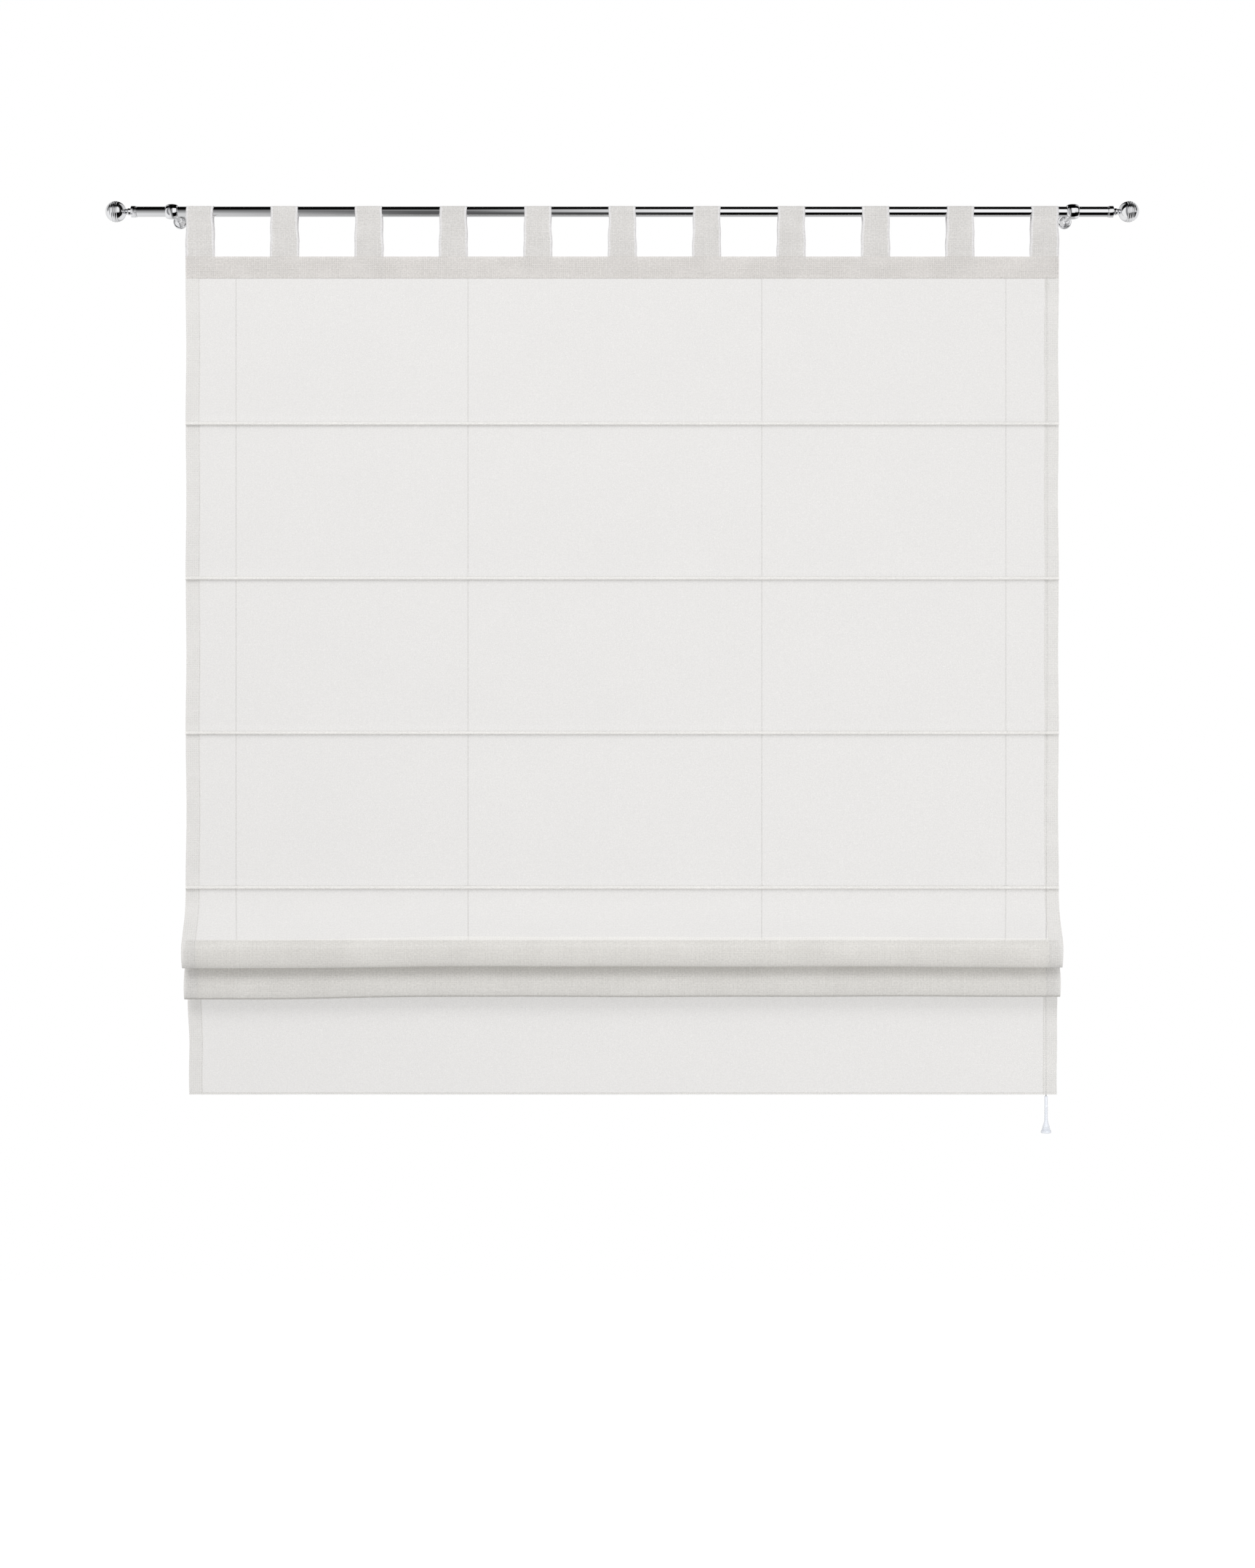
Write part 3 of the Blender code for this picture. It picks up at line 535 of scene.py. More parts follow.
def pull_profile():
    """The bell pull from its neck's top, out over the ribs and steps, and back inside."""
    bore = PULL_CORD_RADIUS + FIT
    bottom = -PULL_NECK_LENGTH - PULL_BELL_LENGTH
    profile = [(bore + 0.0003, 0.0), (PULL_NECK_RADIUS - 0.0006, 0.0)]
    profile += arc((PULL_NECK_RADIUS - 0.0007, -0.0008), (0.0007, 0.0008), 80, 0, 5)
    ribs = 5
    low, high, crest = -0.0002, 0.00015, 0.0002
    rib_shape = [(low, 0.0), (low, 0.30), (high, 0.42), (crest, 0.60), (high, 0.78), (low, 0.90)]
    rib_start = PULL_NECK_LENGTH * 0.42
    rib_pitch = (PULL_NECK_LENGTH - rib_start) / ribs
    for rib in range(ribs):
        top = -rib_start - rib_pitch * rib
        profile += [(PULL_NECK_RADIUS + out, top - rib_pitch * share) for out, share in rib_shape]

    def flare(height):
        share = (height - 0.0030) / (PULL_BELL_LENGTH - 0.0030)
        return PULL_BELL_RADIUS - (PULL_BELL_RADIUS - PULL_NECK_RADIUS) * share**0.85

    neck_end = (PULL_NECK_RADIUS, -PULL_NECK_LENGTH)
    first = (flare(0.0115), bottom + 0.0115)
    handle = PULL_NECK_RADIUS + 0.0005
    profile.append(neck_end)
    profile += cubic(
        neck_end,
        (handle, neck_end[1] - 0.004),
        (handle + 0.0008, first[1] + 0.004),
        first,
        10,
    )
    for height in (0.0102, 0.0077, 0.0052):
        radius = flare(height)
        profile += [
            (radius + 0.00005, bottom + height - 0.0003),
            (radius - 0.0001, bottom + height - 0.0006),
            (radius - 0.0006, bottom + height - 0.0008),
            (radius - 0.0005, bottom + height - 0.0012),
        ]
    profile.append((PULL_BELL_RADIUS - 0.0003, bottom + 0.0038))
    profile += arc((PULL_BELL_RADIUS - 0.0009, bottom + 0.0024), (0.0009, 0.0010), 40, 0, 4)
    profile += arc((PULL_BELL_RADIUS - 0.0012, bottom + 0.0012), (0.0012, 0.0012), 0, -90, 6)
    inner = PULL_BELL_RADIUS - 0.0014
    profile += arc((inner - 0.0006, bottom + 0.0008), (0.0008, 0.0008), -60, -180, 5)
    profile += [(inner - 0.0006, bottom + 0.0040), (0.0052, bottom + 0.0105)]
    hollow_top = -PULL_NECK_LENGTH - 0.0040
    profile += [(0.0040, hollow_top - 0.0040), (0.0030, hollow_top - 0.0010), (0.0022, hollow_top)]
    profile += [(bore, hollow_top)]
    return profile


cord_pull = add_mesh(
    "bell_pull",
    *turned(pull_profile(), 48, (0, 0, 1), (PULL_X, pull_route[-1][1], PULL_TOP), closed=True),
    pull_white,
    sharp=50,
)
finish_piece(cord_pull, ["cord_pull"])


# Cloth

voile = cloth_material("voile_weave", (0.725, 0.712, 0.695), (0.60, 0.588, 0.572), 0.70)
# Painted light: the gathered folds get paler cloth than the flat sheet to lift the shade inside them; the
# dotted grid and higher cover are the real overlapping layers
lit_fold_cloth = cloth_material("voile_folds_painted_light", (0.79, 0.776, 0.745), (0.645, 0.63, 0.60), 0.78, 0.50)
# Painted shade: darker cloth where the lower fold turns under into shade; its higher cover stands for the
# layers seen edge-on
crease_shade_cloth = cloth_material("voile_crease_painted_shade", (0.62, 0.605, 0.575), (0.48, 0.47, 0.445), 0.90)
# Painted light: the tucks are paler than the sheet to give the lit upper face of each tuck; their higher
# cover is the real doubled cloth over the rod
lit_tuck_cloth = cloth_material("voile_tucks_painted_light", (0.87, 0.855, 0.83), (0.78, 0.77, 0.745), 0.90)
side_hem = cloth_material("voile_side_hem", (0.735, 0.722, 0.70), (0.565, 0.555, 0.535), 0.86, 0.60)
header_band = cloth_material("voile_header", (0.775, 0.75, 0.725), (0.59, 0.57, 0.545), 0.80, 0.95)
tab_band = cloth_material("voile_tab", (0.80, 0.785, 0.765), (0.64, 0.625, 0.605), 0.80, 0.60)
tab_edge = cloth_material("voile_tab_edge", (0.84, 0.83, 0.83), (0.72, 0.71, 0.71), 0.90)
thread = braid_material("sewing_thread", (0.82, 0.80, 0.76), (0.52, 0.50, 0.46), 0.0009)
# Painted shadow: this darker thread lays the dark line under the header's lower edge and under each tuck,
# where shade falls; the stitches themselves are real
shadow_seam_thread = braid_material("seam_thread_painted_shadow", (0.46, 0.43, 0.39), (0.28, 0.26, 0.23), 0.0009)


def rod_z(pocket):
    if pocket < FLAT_POCKETS:
        return LAST_ROD_Z + BAY * (FLAT_POCKETS - 1 - pocket)
    return LAST_ROD_Z - GATHERED_DROPS[pocket - FLAT_POCKETS]


def neck_y(pocket):
    if pocket < FLAT_POCKETS:
        return NECK_Y
    return NECK_Y + GATHERED_SETBACKS[pocket - FLAT_POCKETS]


def pocket_path(pocket):
    """The tuck round a pocket's rod: in at the neck's front, out down its back."""
    neck = neck_y(pocket)
    center = (neck + LAYER_PITCH / 2 - LOOP_RADIUS, rod_z(pocket))
    top = rod_z(pocket) + POCKET_NECK
    front = (neck - LAYER_PITCH / 2, top)
    reach = (front[0] - center[0], front[1] - center[1])
    tangent = atan2(reach[1], reach[0]) + acos(LOOP_RADIUS / hypot(*reach))
    path = [front]
    path += arc(center, (LOOP_RADIUS, LOOP_RADIUS), tangent * 180 / pi, 360, 14)
    path += arc((neck + LAYER_PITCH, top), (LAYER_PITCH / 2, LAYER_PITCH / 2), 180, 0, 6)
    if pocket >= FLAT_POCKETS:
        rise_y = center[0] - LOOP_RADIUS - LAYER_PITCH
        crown = (front[0] - rise_y) / 2
        path = arc((rise_y + crown, top), (crown, crown), 180, 0, 8)[:-1] + path
    return path


def billow_path(start, end, index):
    """A slack bay: forward and down to its belly, round the nose and up behind."""
    depth = BILLOW_NOSE_DEPTHS[index]
    height = BILLOW_NOSE_HEIGHTS[index]
    belly_y = FRONT_Y - BILLOW_REACHES[index]
    nose_z = LAST_ROD_Z - BILLOW_DROPS[index] + height
    belly = (belly_y, nose_z)
    heel = (belly_y + 2 * depth, nose_z)
    hang = (start[1] - nose_z) * BILLOW_HANGS[index]
    swell = (start[1] - nose_z) * BILLOW_SWELLS[index]
    rise = (end[1] - nose_z) * BILLOW_RISE
    path = cubic(start, (start[0], start[1] - hang), (belly[0], nose_z + swell), belly, 20)
    path += arc((belly_y + depth, nose_z), (depth, height), 180, 360, 18)[1:]
    path += cubic(heel, (heel[0], nose_z + rise), (end[0], end[1] - rise), end, 16)[:-1]
    return path


def panel_section():
    """The sheet's section from the header down, with where its seams lie along it."""
    path = [(FRONT_Y, -HEADER_DROP), (FRONT_Y, HEADER_BOTTOM)]
    necks, billow_ends = [], []
    for pocket in range(POCKETS):
        tuck = pocket_path(pocket)
        if pocket >= FLAT_POCKETS:
            billow_ends.append((path[-1], tuck[0]))
            path += billow_path(path[-1], tuck[0], pocket - FLAT_POCKETS)
        necks.append((neck_y(pocket) - LAYER_PITCH / 2, rod_z(pocket) + POCKET_NECK))
        path += tuck
    bottom = rod_z(POCKETS - 1) - LAST_PANEL
    path += [(path[-1][0], bottom + BOTTOM_HEM_HEIGHT), (path[-1][0], bottom)]
    path = divided(path, 0.012)
    lengths = running_lengths(path)
    seams = [lengths[path.index(neck)] for neck in necks]
    billows = [tuple(lengths[path.index(end)] for end in ends) for ends in billow_ends]
    return path, lengths, seams, billows


def wave(x, phase):
    return 0.6 * sin(2 * pi * (x / 0.83 + 0.17 * phase)) + 0.4 * sin(2 * pi * (x / 0.29 + 0.41 * phase))


def settle(x, y, z, distance):
    """Soft unevenness of hanging cloth, none of it where rods and seams hold it straight."""
    swell = 0.0
    phase = 0.0
    tops = [HEADER_BOTTOM] + [rod_z(k) for k in range(FLAT_POCKETS)]
    for bay, (top, bottom) in enumerate(zip(tops, tops[1:])):
        if bottom < z < top:
            swell = sin(pi * (top - z) / (top - bottom)) ** 2
            phase = bay
    slack = [0.0, 0.0]
    for index, (start, end) in enumerate(billow_spans):
        if start < distance < end:
            slack[index] = sin(pi * (distance - start) / (end - start)) ** 2
    low = smooth_step((LAST_ROD_Z - 0.150 - z) / 0.10) if distance > billow_spans[-1][1] else 0.0
    left_end = smooth_step((-0.26 - x) / 0.30)
    right_end = smooth_step((x - 0.42) / 0.20)
    edge = (2 * abs(x) / BLIND_WIDTH) ** 6
    side = 1 if x > 0 else -1
    # Side edges draw in along a flat bay, and the last panel's lower corners lean inwards
    shift_x = -side * 0.0014 * swell * edge
    shift_x += (0.0036 if x < 0 else -0.0012) * low * edge
    shift_x += 0.0004 * low * sin(z * 60)
    # Bays, folds and the last panel belly unevenly towards the room
    shift_y = -0.0010 * swell * (1 + wave(x, phase))
    shift_y += (0.0020 * slack[0] + 0.0010 * slack[1]) * wave(x, 5.0 + 3 * (z + 1.2))
    shift_y -= 0.0011 * low * (1 + wave(x, 8.0))
    # Both folds stand a little higher in their middle, and the lower one droops at its left end
    shift_z = slack[0] * (0.0042 * (1 - left_end) * (1 - 0.7 * right_end) + 0.0007 * wave(x, 2.7))
    shift_z += slack[1] * (0.0012 * (1 - left_end) - 0.0030 * left_end + 0.0006 * wave(x, 4.1))
    return Vector((x + shift_x, y + shift_y, z + shift_z))


def cloth_piece(name, path, lengths, columns, place, materials, zone=None, u_offset=0.0):
    """A woven surface swept from a section over columns, with its flat coordinates stored."""
    vertices = []
    flat = []
    for (y, z), length in zip(path, lengths):
        for x in columns:
            vertices.append(place(x, y, z, length))
            flat += [x + u_offset, length, 0.0]
    width = len(columns)
    faces = []
    for i in range(len(path) - 1):
        for j in range(width - 1):
            a = i * width + j
            faces.append((a, a + width, a + width + 1, a + 1))
    piece = add_mesh(name, vertices, faces, materials)
    attribute = piece.data.attributes.new("weave", "FLOAT_VECTOR", "POINT")
    attribute.data.foreach_set("vector", flat)
    if len(materials) > 1:
        chosen = [zone(i, j) for i in range(len(path) - 1) for j in range(width - 1)]
        piece.data.polygons.foreach_set("material_index", chosen)
        piece.data.update()
    return piece


def thicken(piece, thickness):
    solid = piece.modifiers.new("Thickness", "SOLIDIFY")
    solid.thickness = thickness
    solid.offset = 0.0


panel_points, panel_lengths, neck_lengths, billow_spans = panel_section()
TUCK_RUN = running_lengths(pocket_path(0))[-1]
SEAM_DROP = TUCK_RUN + POCKET_NECK + LOOP_RADIUS + 0.0006
FOLD_TOP = LAST_ROD_Z - GATHERED_DROPS[0] + POCKET_NECK + 0.0040
LAST_CREASE = min(
    (point[1], distance)
    for point, distance in zip(panel_points, panel_lengths)
    if billow_spans[-1][0] < distance < billow_spans[-1][1]
)[1]
half = BLIND_WIDTH / 2
hem_edge = half - SIDE_HEM_WIDTH
inner = [-hem_edge + 2 * hem_edge * k / 92 for k in range(93)]
outer = [*HEM_COLUMNS, half]
panel_columns = [-x for x in reversed(outer)] + inner + outer
PLAIN, HEMMED, HEADED, FOLDED, TUCKED, CREASE_SHADED = range(6)


def panel_zone(i, j):
    middle = abs(panel_columns[j] + panel_columns[j + 1]) / 2
    if panel_points[i + 1][1] > HEADER_BOTTOM - 1e-6:
        return HEADED
    distance = (panel_lengths[i] + panel_lengths[i + 1]) / 2
    # Tucks get the paler cloth of painted light
    if any(start < distance < start + TUCK_RUN for start in neck_lengths):
        return TUCKED
    # The lower fold's nose bottom gets the darker cloth of painted shade
    if LAST_CREASE - CREASE_SHADE_ABOVE < distance < LAST_CREASE + CREASE_SHADE_BEHIND:
        return CREASE_SHADED
    if middle > hem_edge or i >= len(panel_points) - 2:
        return HEMMED
    # The folds get the paler cloth of painted light
    if any(start < distance < end for start, end in billow_spans) and panel_points[i + 1][1] < FOLD_TOP:
        return FOLDED
    return PLAIN


panel = cloth_piece(
    "voile_sheet",
    panel_points,
    panel_lengths,
    panel_columns,
    settle,
    [voile, side_hem, header_band, lit_fold_cloth, lit_tuck_cloth, crease_shade_cloth],
    panel_zone,
)
finish_piece(panel, ["voile_panel"])


def tab_section():
    radius = ROD_RADIUS + FIT + TAB_THICKNESS / 2
    spread = acos(radius / hypot(TAB_LEG_OFFSET, HEADER_DROP))
    swing = (spread - atan2(HEADER_DROP, TAB_LEG_OFFSET)) * 180 / pi
    low = -HEADER_DROP - TAB_TUCKED_IN
    path = [(ROD_Y - TAB_LEG_OFFSET, low), (ROD_Y - TAB_LEG_OFFSET, -HEADER_DROP)]
    path += arc((ROD_Y, 0.0), (radius, radius), 180 - swing, swing, 22)
    path += [(ROD_Y + TAB_LEG_OFFSET, -HEADER_DROP), (ROD_Y + TAB_LEG_OFFSET, low)]
    path = divided(path, 0.007)
    return path, running_lengths(path)


tab_points, tab_lengths = tab_section()
tab_pitch = (BLIND_WIDTH - TAB_WIDTH) / (TAB_COUNT - 1)
for index in range(TAB_COUNT):
    middle = -half + TAB_WIDTH / 2 + tab_pitch * index

    def tab_place(x, y, z, distance, middle=middle, index=index):
        """Narrower over the rod, where the weight pulls the cloth together."""
        pull = smooth_step((z + 0.066) / 0.060)
        drift = 0.0005 * sin(150 * z + 2.1 * index) * smooth_step((z + 0.070) / 0.02)
        return Vector((middle + x * (1 - 0.072 * pull) + drift, y, z))

    tab_columns = [-TAB_WIDTH / 2, -TAB_WIDTH / 2 + TAB_EDGE, -0.0120, -0.0040]
    tab_columns += [-place for place in reversed(tab_columns)]
    tab = cloth_piece(
        f"tab_cloth_{index + 1:02d}",
        tab_points,
        tab_lengths,
        tab_columns,
        tab_place,
        [tab_band, tab_edge],
        lambda i, j: int(j in (0, len(tab_columns) - 2)),
        u_offset=middle,
    )
    thicken(tab, TAB_THICKNESS)
    finish_piece(tab, [f"tab_{index + 1:02d}"])

facing_path = divided([(FACING_Y, HEADER_BOTTOM), (FACING_Y, -HEADER_DROP)], 0.007)
facing = cloth_piece(
    "facing_cloth",
    facing_path,
    running_lengths(facing_path),
    [-half + BLIND_WIDTH * k / 60 for k in range(61)],
    lambda x, y, z, distance: Vector((x, y, z)),
    [header_band],
)
thicken(facing, FACING_CLOTH)
finish_piece(facing, ["header_facing"])


# Stitching, each stitch a short spindle of thread lying on the cloth


def stitch_shape(center, along, out):
    side = along.cross(out)
    middle = center + out * STITCH_RADIUS * 0.9
    vertices = [
        center - along * STITCH_LENGTH / 2,
        center + along * STITCH_LENGTH / 2,
        middle + out * STITCH_RADIUS,
        middle + side * STITCH_RADIUS * 1.3,
        middle - out * STITCH_RADIUS,
        middle - side * STITCH_RADIUS * 1.3,
    ]
    faces = [(0, 3, 2), (0, 4, 3), (0, 5, 4), (0, 2, 5), (1, 2, 3), (1, 3, 4), (1, 4, 5), (1, 5, 2)]
    return vertices, faces


def stitch_pair(center, along, normal):
    """A stitch on each face of the cloth."""
    outs = [Vector((0.0, *normal)) * side for side in (1, -1)]
    return [stitch_shape(center + out * STITCH_LIFT, along, out) for out in outs]


def section_place(path, lengths, distance):
    """Point and forward normal of a section at a distance along it."""
    k = 0
    while k < len(lengths) - 2 and lengths[k + 1] < distance:
        k += 1
    share = (distance - lengths[k]) / (lengths[k + 1] - lengths[k])
    a, b = path[k], path[k + 1]
    run = hypot(b[0] - a[0], b[1] - a[1])
    step = ((b[0] - a[0]) / run, (b[1] - a[1]) / run)
    return (a[0] + (b[0] - a[0]) * share, a[1] + (b[1] - a[1]) * share), (step[1], -step[0]), step


def cross_seam(distance):
    """Stitches in a row across the cloth at one distance down the sheet."""
    point, normal, _ = section_place(panel_points, panel_lengths, distance)
    shapes = []
    start, end = -half + SEAM_INSET, half - SEAM_INSET
    count = int((end - start) / STITCH_PITCH)
    for k in range(count):
        x = start + (k + 0.5) * STITCH_PITCH
        shapes += stitch_pair(settle(x, *point, distance), Vector((1, 0, 0)), normal)
    return shapes


def side_seam(x, start, end):
    """Stitches in a row down the cloth."""
    shapes = []
    distance = start
    while distance < end:
        point, normal, step = section_place(panel_points, panel_lengths, distance)
        shapes += stitch_pair(settle(x, *point, distance), Vector((0.0, *step)), normal)
        distance += STITCH_PITCH
    return shapes


def sew(name, shapes, material=thread):
    piece = add_mesh(name, *joined(*shapes), material)
    finish_piece(piece)
    return piece


sheet_end = panel_lengths[-1]
# The header's seam in dark thread gives a painted shadow line along its lower edge
seams = [sew("header_stitches", cross_seam(HEADER_HEIGHT - 0.0006), shadow_seam_thread)]
for word, side in SIDES:
    side_row = side_seam(side * (hem_edge + 0.0016), HEADER_HEIGHT, sheet_end)
    seams.append(sew(f"side_stitches_{word}", side_row))
# Pocket seams sit just under each tuck, and their dark thread gives its painted shadow line
for pocket, distance in enumerate(neck_lengths):
    seams.append(sew(f"pocket_stitches_{pocket + 1}", cross_seam(distance + SEAM_DROP), shadow_seam_thread))
seams.append(sew("bottom_stitches", cross_seam(sheet_end - 0.0028)))


# Rings, cords and joiner behind the cloth

ring_white = plastic_material("ring_gloss", (0.84, 0.85, 0.84), (0.74, 0.76, 0.75), 0.28, 0.3)


def circle(count):
    return [-2 * pi * k / count for k in range(count)]


def ring_shape(major, axis, location):
    profile = [(major + RING_WIRE / 2 * cos(a), RING_WIRE / 2 * sin(a)) for a in circle(10)]
    return turned(profile, 30, axis, location, closed=True)


def thread_loop(center, axis):
    """Thread wound round a ring's wire where it is sewn to the cloth."""
    profile = [(0.0011 + 0.0003 * cos(a), 0.0006 * sin(a)) for a in circle(8)]
    return turned(profile, 14, axis, center, closed=True)


def ring_place(pocket):
    back_face = neck_y(pocket) + 1.5 * LAYER_PITCH + HEM / 2
    return back_face + FIT + RING_RADIUS, rod_z(pocket) + POCKET_NECK


for pocket in range(POCKETS):
    y, z = ring_place(pocket)
    loops = []
    for column, x in enumerate(LIFT_CORD_X):
        name = f"ring_{pocket + 1}_{column + 1}"
        ring = add_mesh(name, *ring_shape(RING_RADIUS - RING_WIRE / 2, (0, 0, 1), (x, y, z)), ring_white)
        finish_piece(ring, [f"cord_ring_{pocket + 1}_{column + 1}"])
        loops.append(thread_loop(Vector((x, y - RING_RADIUS + RING_WIRE / 2, z)), (1, 0, 0)))
    tacks = add_mesh(f"ring_tacks_{pocket + 1}", *joined(*loops), thread)
    finish_piece(tacks)

pull_turn_x = PULL_X - CORD_PITCH / 2 - LIFT_CORD_BEND
guide_loops = []
guide_columns = [x + GUIDE_LEAD for x in LIFT_CORD_X] + [pull_turn_x - RING_WIRE]
for index, x in enumerate(guide_columns):
    guide_shape = ring_shape(GUIDE_MAJOR, (1, 0, 0), (x, GUIDE_Y, GUIDE_Z))
    guide = add_mesh(f"guide_ring_{index + 1}", *guide_shape, ring_white)
    finish_piece(guide, ["header_facing"])
    guide_loops.append(thread_loop(Vector((x, FACING_Y + FACING_THICKNESS / 2, GUIDE_Z)), (0, 0, 1)))
guide_tacks = add_mesh("guide_tacks", *joined(*guide_loops), thread)
finish_piece(guide_tacks)


def lift_cord_route(index):
    """Up through the rings, across the guide rings and down to the joiner."""
    x = LIFT_CORD_X[index]
    upper = index < 2
    lane_y = GUIDE_Y + (CORD_PITCH / 2 if index % 2 == 0 else -CORD_PITCH / 2)
    lane_z = LOW_LANE_Z + (CORD_PITCH if upper else 0.0)
    bottom_y, bottom_z = ring_place(POCKETS - 1)
    route = [(x, bottom_y, bottom_z - LIFT_CORD_TAIL + 0.0012)]
    # Between the top pocket and the last flat one the cord runs straight
    for pocket in reversed(range(POCKETS)):
        if pocket >= FLAT_POCKETS - 1 or pocket == 0:
            route.append((x, *ring_place(pocket)))
    bend = LIFT_CORD_BEND
    rise_z = lane_z - bend
    route.append((x, ring_place(0)[0], rise_z - 6 * bend))
    for across, up in arc((x + bend, rise_z), (bend, bend), 180, 90, 6):
        route.append((across, lane_y, up))
    turn = bend + (CORD_PITCH if upper else 0.0)
    for across, up in arc((pull_turn_x, lane_z - turn), (turn, turn), 90, 0, 6):
        route.append((across, lane_y, up))
    route.append((pull_turn_x + turn, lane_y, JOINER_TOP + FIT))
    return route


for index in range(len(LIFT_CORD_X)):
    route = lift_cord_route(index)
    lift = cord_curve(f"lift_braid_{index + 1}", route, LIFT_CORD_RADIUS, cord_white)
    finish_piece(lift, [f"lift_cord_{index + 1}"])
    lift_knot_shape = knot_shape(Vector(route[0]), LIFT_CORD_RADIUS)
    knot = add_mesh(f"lift_knot_{index + 1}", *lift_knot_shape, cord_white)
    finish_piece(knot)


def joiner_profile():
    top = JOINER_LENGTH / 2
    profile = [(0.0, top - 0.0003), (JOINER_RADIUS * 0.60, top - 0.0003), (JOINER_RADIUS * 0.64, top)]
    profile += arc((JOINER_RADIUS * 0.72, top - 0.0013), (JOINER_RADIUS * 0.28, 0.0013), 90, 0, 6)
    profile += [(JOINER_RADIUS, 0.0012), (JOINER_RADIUS - 0.00025, 0.0008)]
    profile += [(JOINER_RADIUS - 0.00025, 0.0002), (JOINER_RADIUS, -0.0002), (JOINER_RADIUS, -top + 0.0040)]
    profile += arc((JOINER_RADIUS - 0.0011, -top + 0.0036), (0.0011, 0.0012), 0, -50, 4)
    profile += [(PULL_CORD_RADIUS + 0.0006, -top + 0.0001), (PULL_CORD_RADIUS + 0.0004, -top)]
    profile.append((0.0, -top))
    return profile


joiner = add_mesh(
    "joiner_body",
    *turned(joiner_profile(), 32, (0, 0, 1), (PULL_X, GUIDE_Y, JOINER_TOP - JOINER_LENGTH / 2)),
    ring_white,
    sharp=50,
)
finish_piece(joiner, ["cord_joiner"])


# Chrome rod, finials and brackets

chrome = metal_material("chrome_plate", (0.93, 0.935, 0.95), (0.89, 0.895, 0.91), 0.05, 0.03)
steel = metal_material("zinc_plate", (0.66, 0.66, 0.64), (0.50, 0.50, 0.49), 0.34, 0.16)

rod_bore = ROD_RADIUS - ROD_WALL
rod_half = ROD_LENGTH / 2
rod_profile = [
    (ROD_RADIUS - 0.0002, rod_half),
    (ROD_RADIUS, rod_half - 0.0002),
    (ROD_RADIUS, -rod_half + 0.0002),
    (ROD_RADIUS - 0.0002, -rod_half),
    (rod_bore, -rod_half),
    (rod_bore, rod_half),
]
rod = add_mesh("rod_tube", *turned(rod_profile, 64, (1, 0, 0), (0, ROD_Y, 0), closed=True), chrome, sharp=40)
finish_piece(rod, ["curtain_rod"])


def finial_profile():
    """Grooved ball from its tip, then waist, bead neck, collar and spigot."""
    spigot = ROD_RADIUS - ROD_WALL - FIT
    groove_half_width = 0.00075
    drop = sqrt(BALL_RADIUS**2 - WAIST_RADIUS**2)
    neck_top = COLLAR_LENGTH + NECK_LENGTH
    center = neck_top + drop
    profile = []
    angle = 90.0
    low = -atan2(drop, WAIST_RADIUS) * 180 / pi
    while angle > low:
        height = BALL_RADIUS * sin(radians(angle))
        depth = 0.0
        for place in BALL_GROOVES:
            gap = abs(height - place) / groove_half_width
            if gap < 1:
                depth = BALL_GROOVE_DEPTH * cos(gap * pi / 2)
        radius = sqrt(max(BALL_RADIUS**2 - height**2, 0.0))
        profile.append((max(radius - depth, 0.0), center + height))
        angle -= 0.9 if -16 < angle < 30 else 4.0
    waist = (WAIST_RADIUS, neck_top)
    profile.append(waist)
    profile += cubic(
        waist,
        (WAIST_RADIUS + 0.0003, neck_top - 0.0008),
        (WAIST_RADIUS + 0.0006, neck_top - 0.0012),
        (WAIST_RADIUS + 0.0008, neck_top - 0.0015),
        3,
    )
    profile += arc((NECK_RADIUS - 0.0022, neck_top - 0.0045), (0.0022, 0.0030), 70, -25, 8)
    profile += [(NECK_RADIUS - 0.0004, COLLAR_LENGTH + 0.0006), (NECK_RADIUS, COLLAR_LENGTH + 0.0001)]
    profile += arc((COLLAR_RADIUS - 0.0007, COLLAR_LENGTH - 0.0007), (0.0007, 0.0007), 90, 0, 5)
    groove_floor = COLLAR_RADIUS - COLLAR_GROOVE
    low_edge = COLLAR_RADIUS - 0.0004
    profile += [(COLLAR_RADIUS, 2 * COLLAR_GROOVE + 0.0002), (COLLAR_RADIUS - 0.0002, 2 * COLLAR_GROOVE)]
    profile += [(groove_floor, 2 * COLLAR_GROOVE), (groove_floor, COLLAR_GROOVE)]
    profile += [(low_edge - 0.0001, COLLAR_GROOVE), (low_edge, COLLAR_GROOVE - 0.0001)]
    profile += [(low_edge, FIT + 0.0001), (low_edge - 0.0001, FIT), (spigot, FIT)]
    profile += [(spigot, 0.001 - SPIGOT_LENGTH), (spigot - 0.001, -SPIGOT_LENGTH), (0.0, -SPIGOT_LENGTH)]
    return profile


def holder_profile():
    """Barrel holder with a softly bulged outside and the rod's bore."""
    end = HOLDER_WIDTH / 2
    bore = ROD_RADIUS + FIT
    profile = arc((HOLDER_END_RADIUS, 0.0), (HOLDER_BULGE, end), 82, -82, 20)
    profile += [(HOLDER_END_RADIUS, -end), (bore, -end), (bore, end), (HOLDER_END_RADIUS, end)]
    return profile


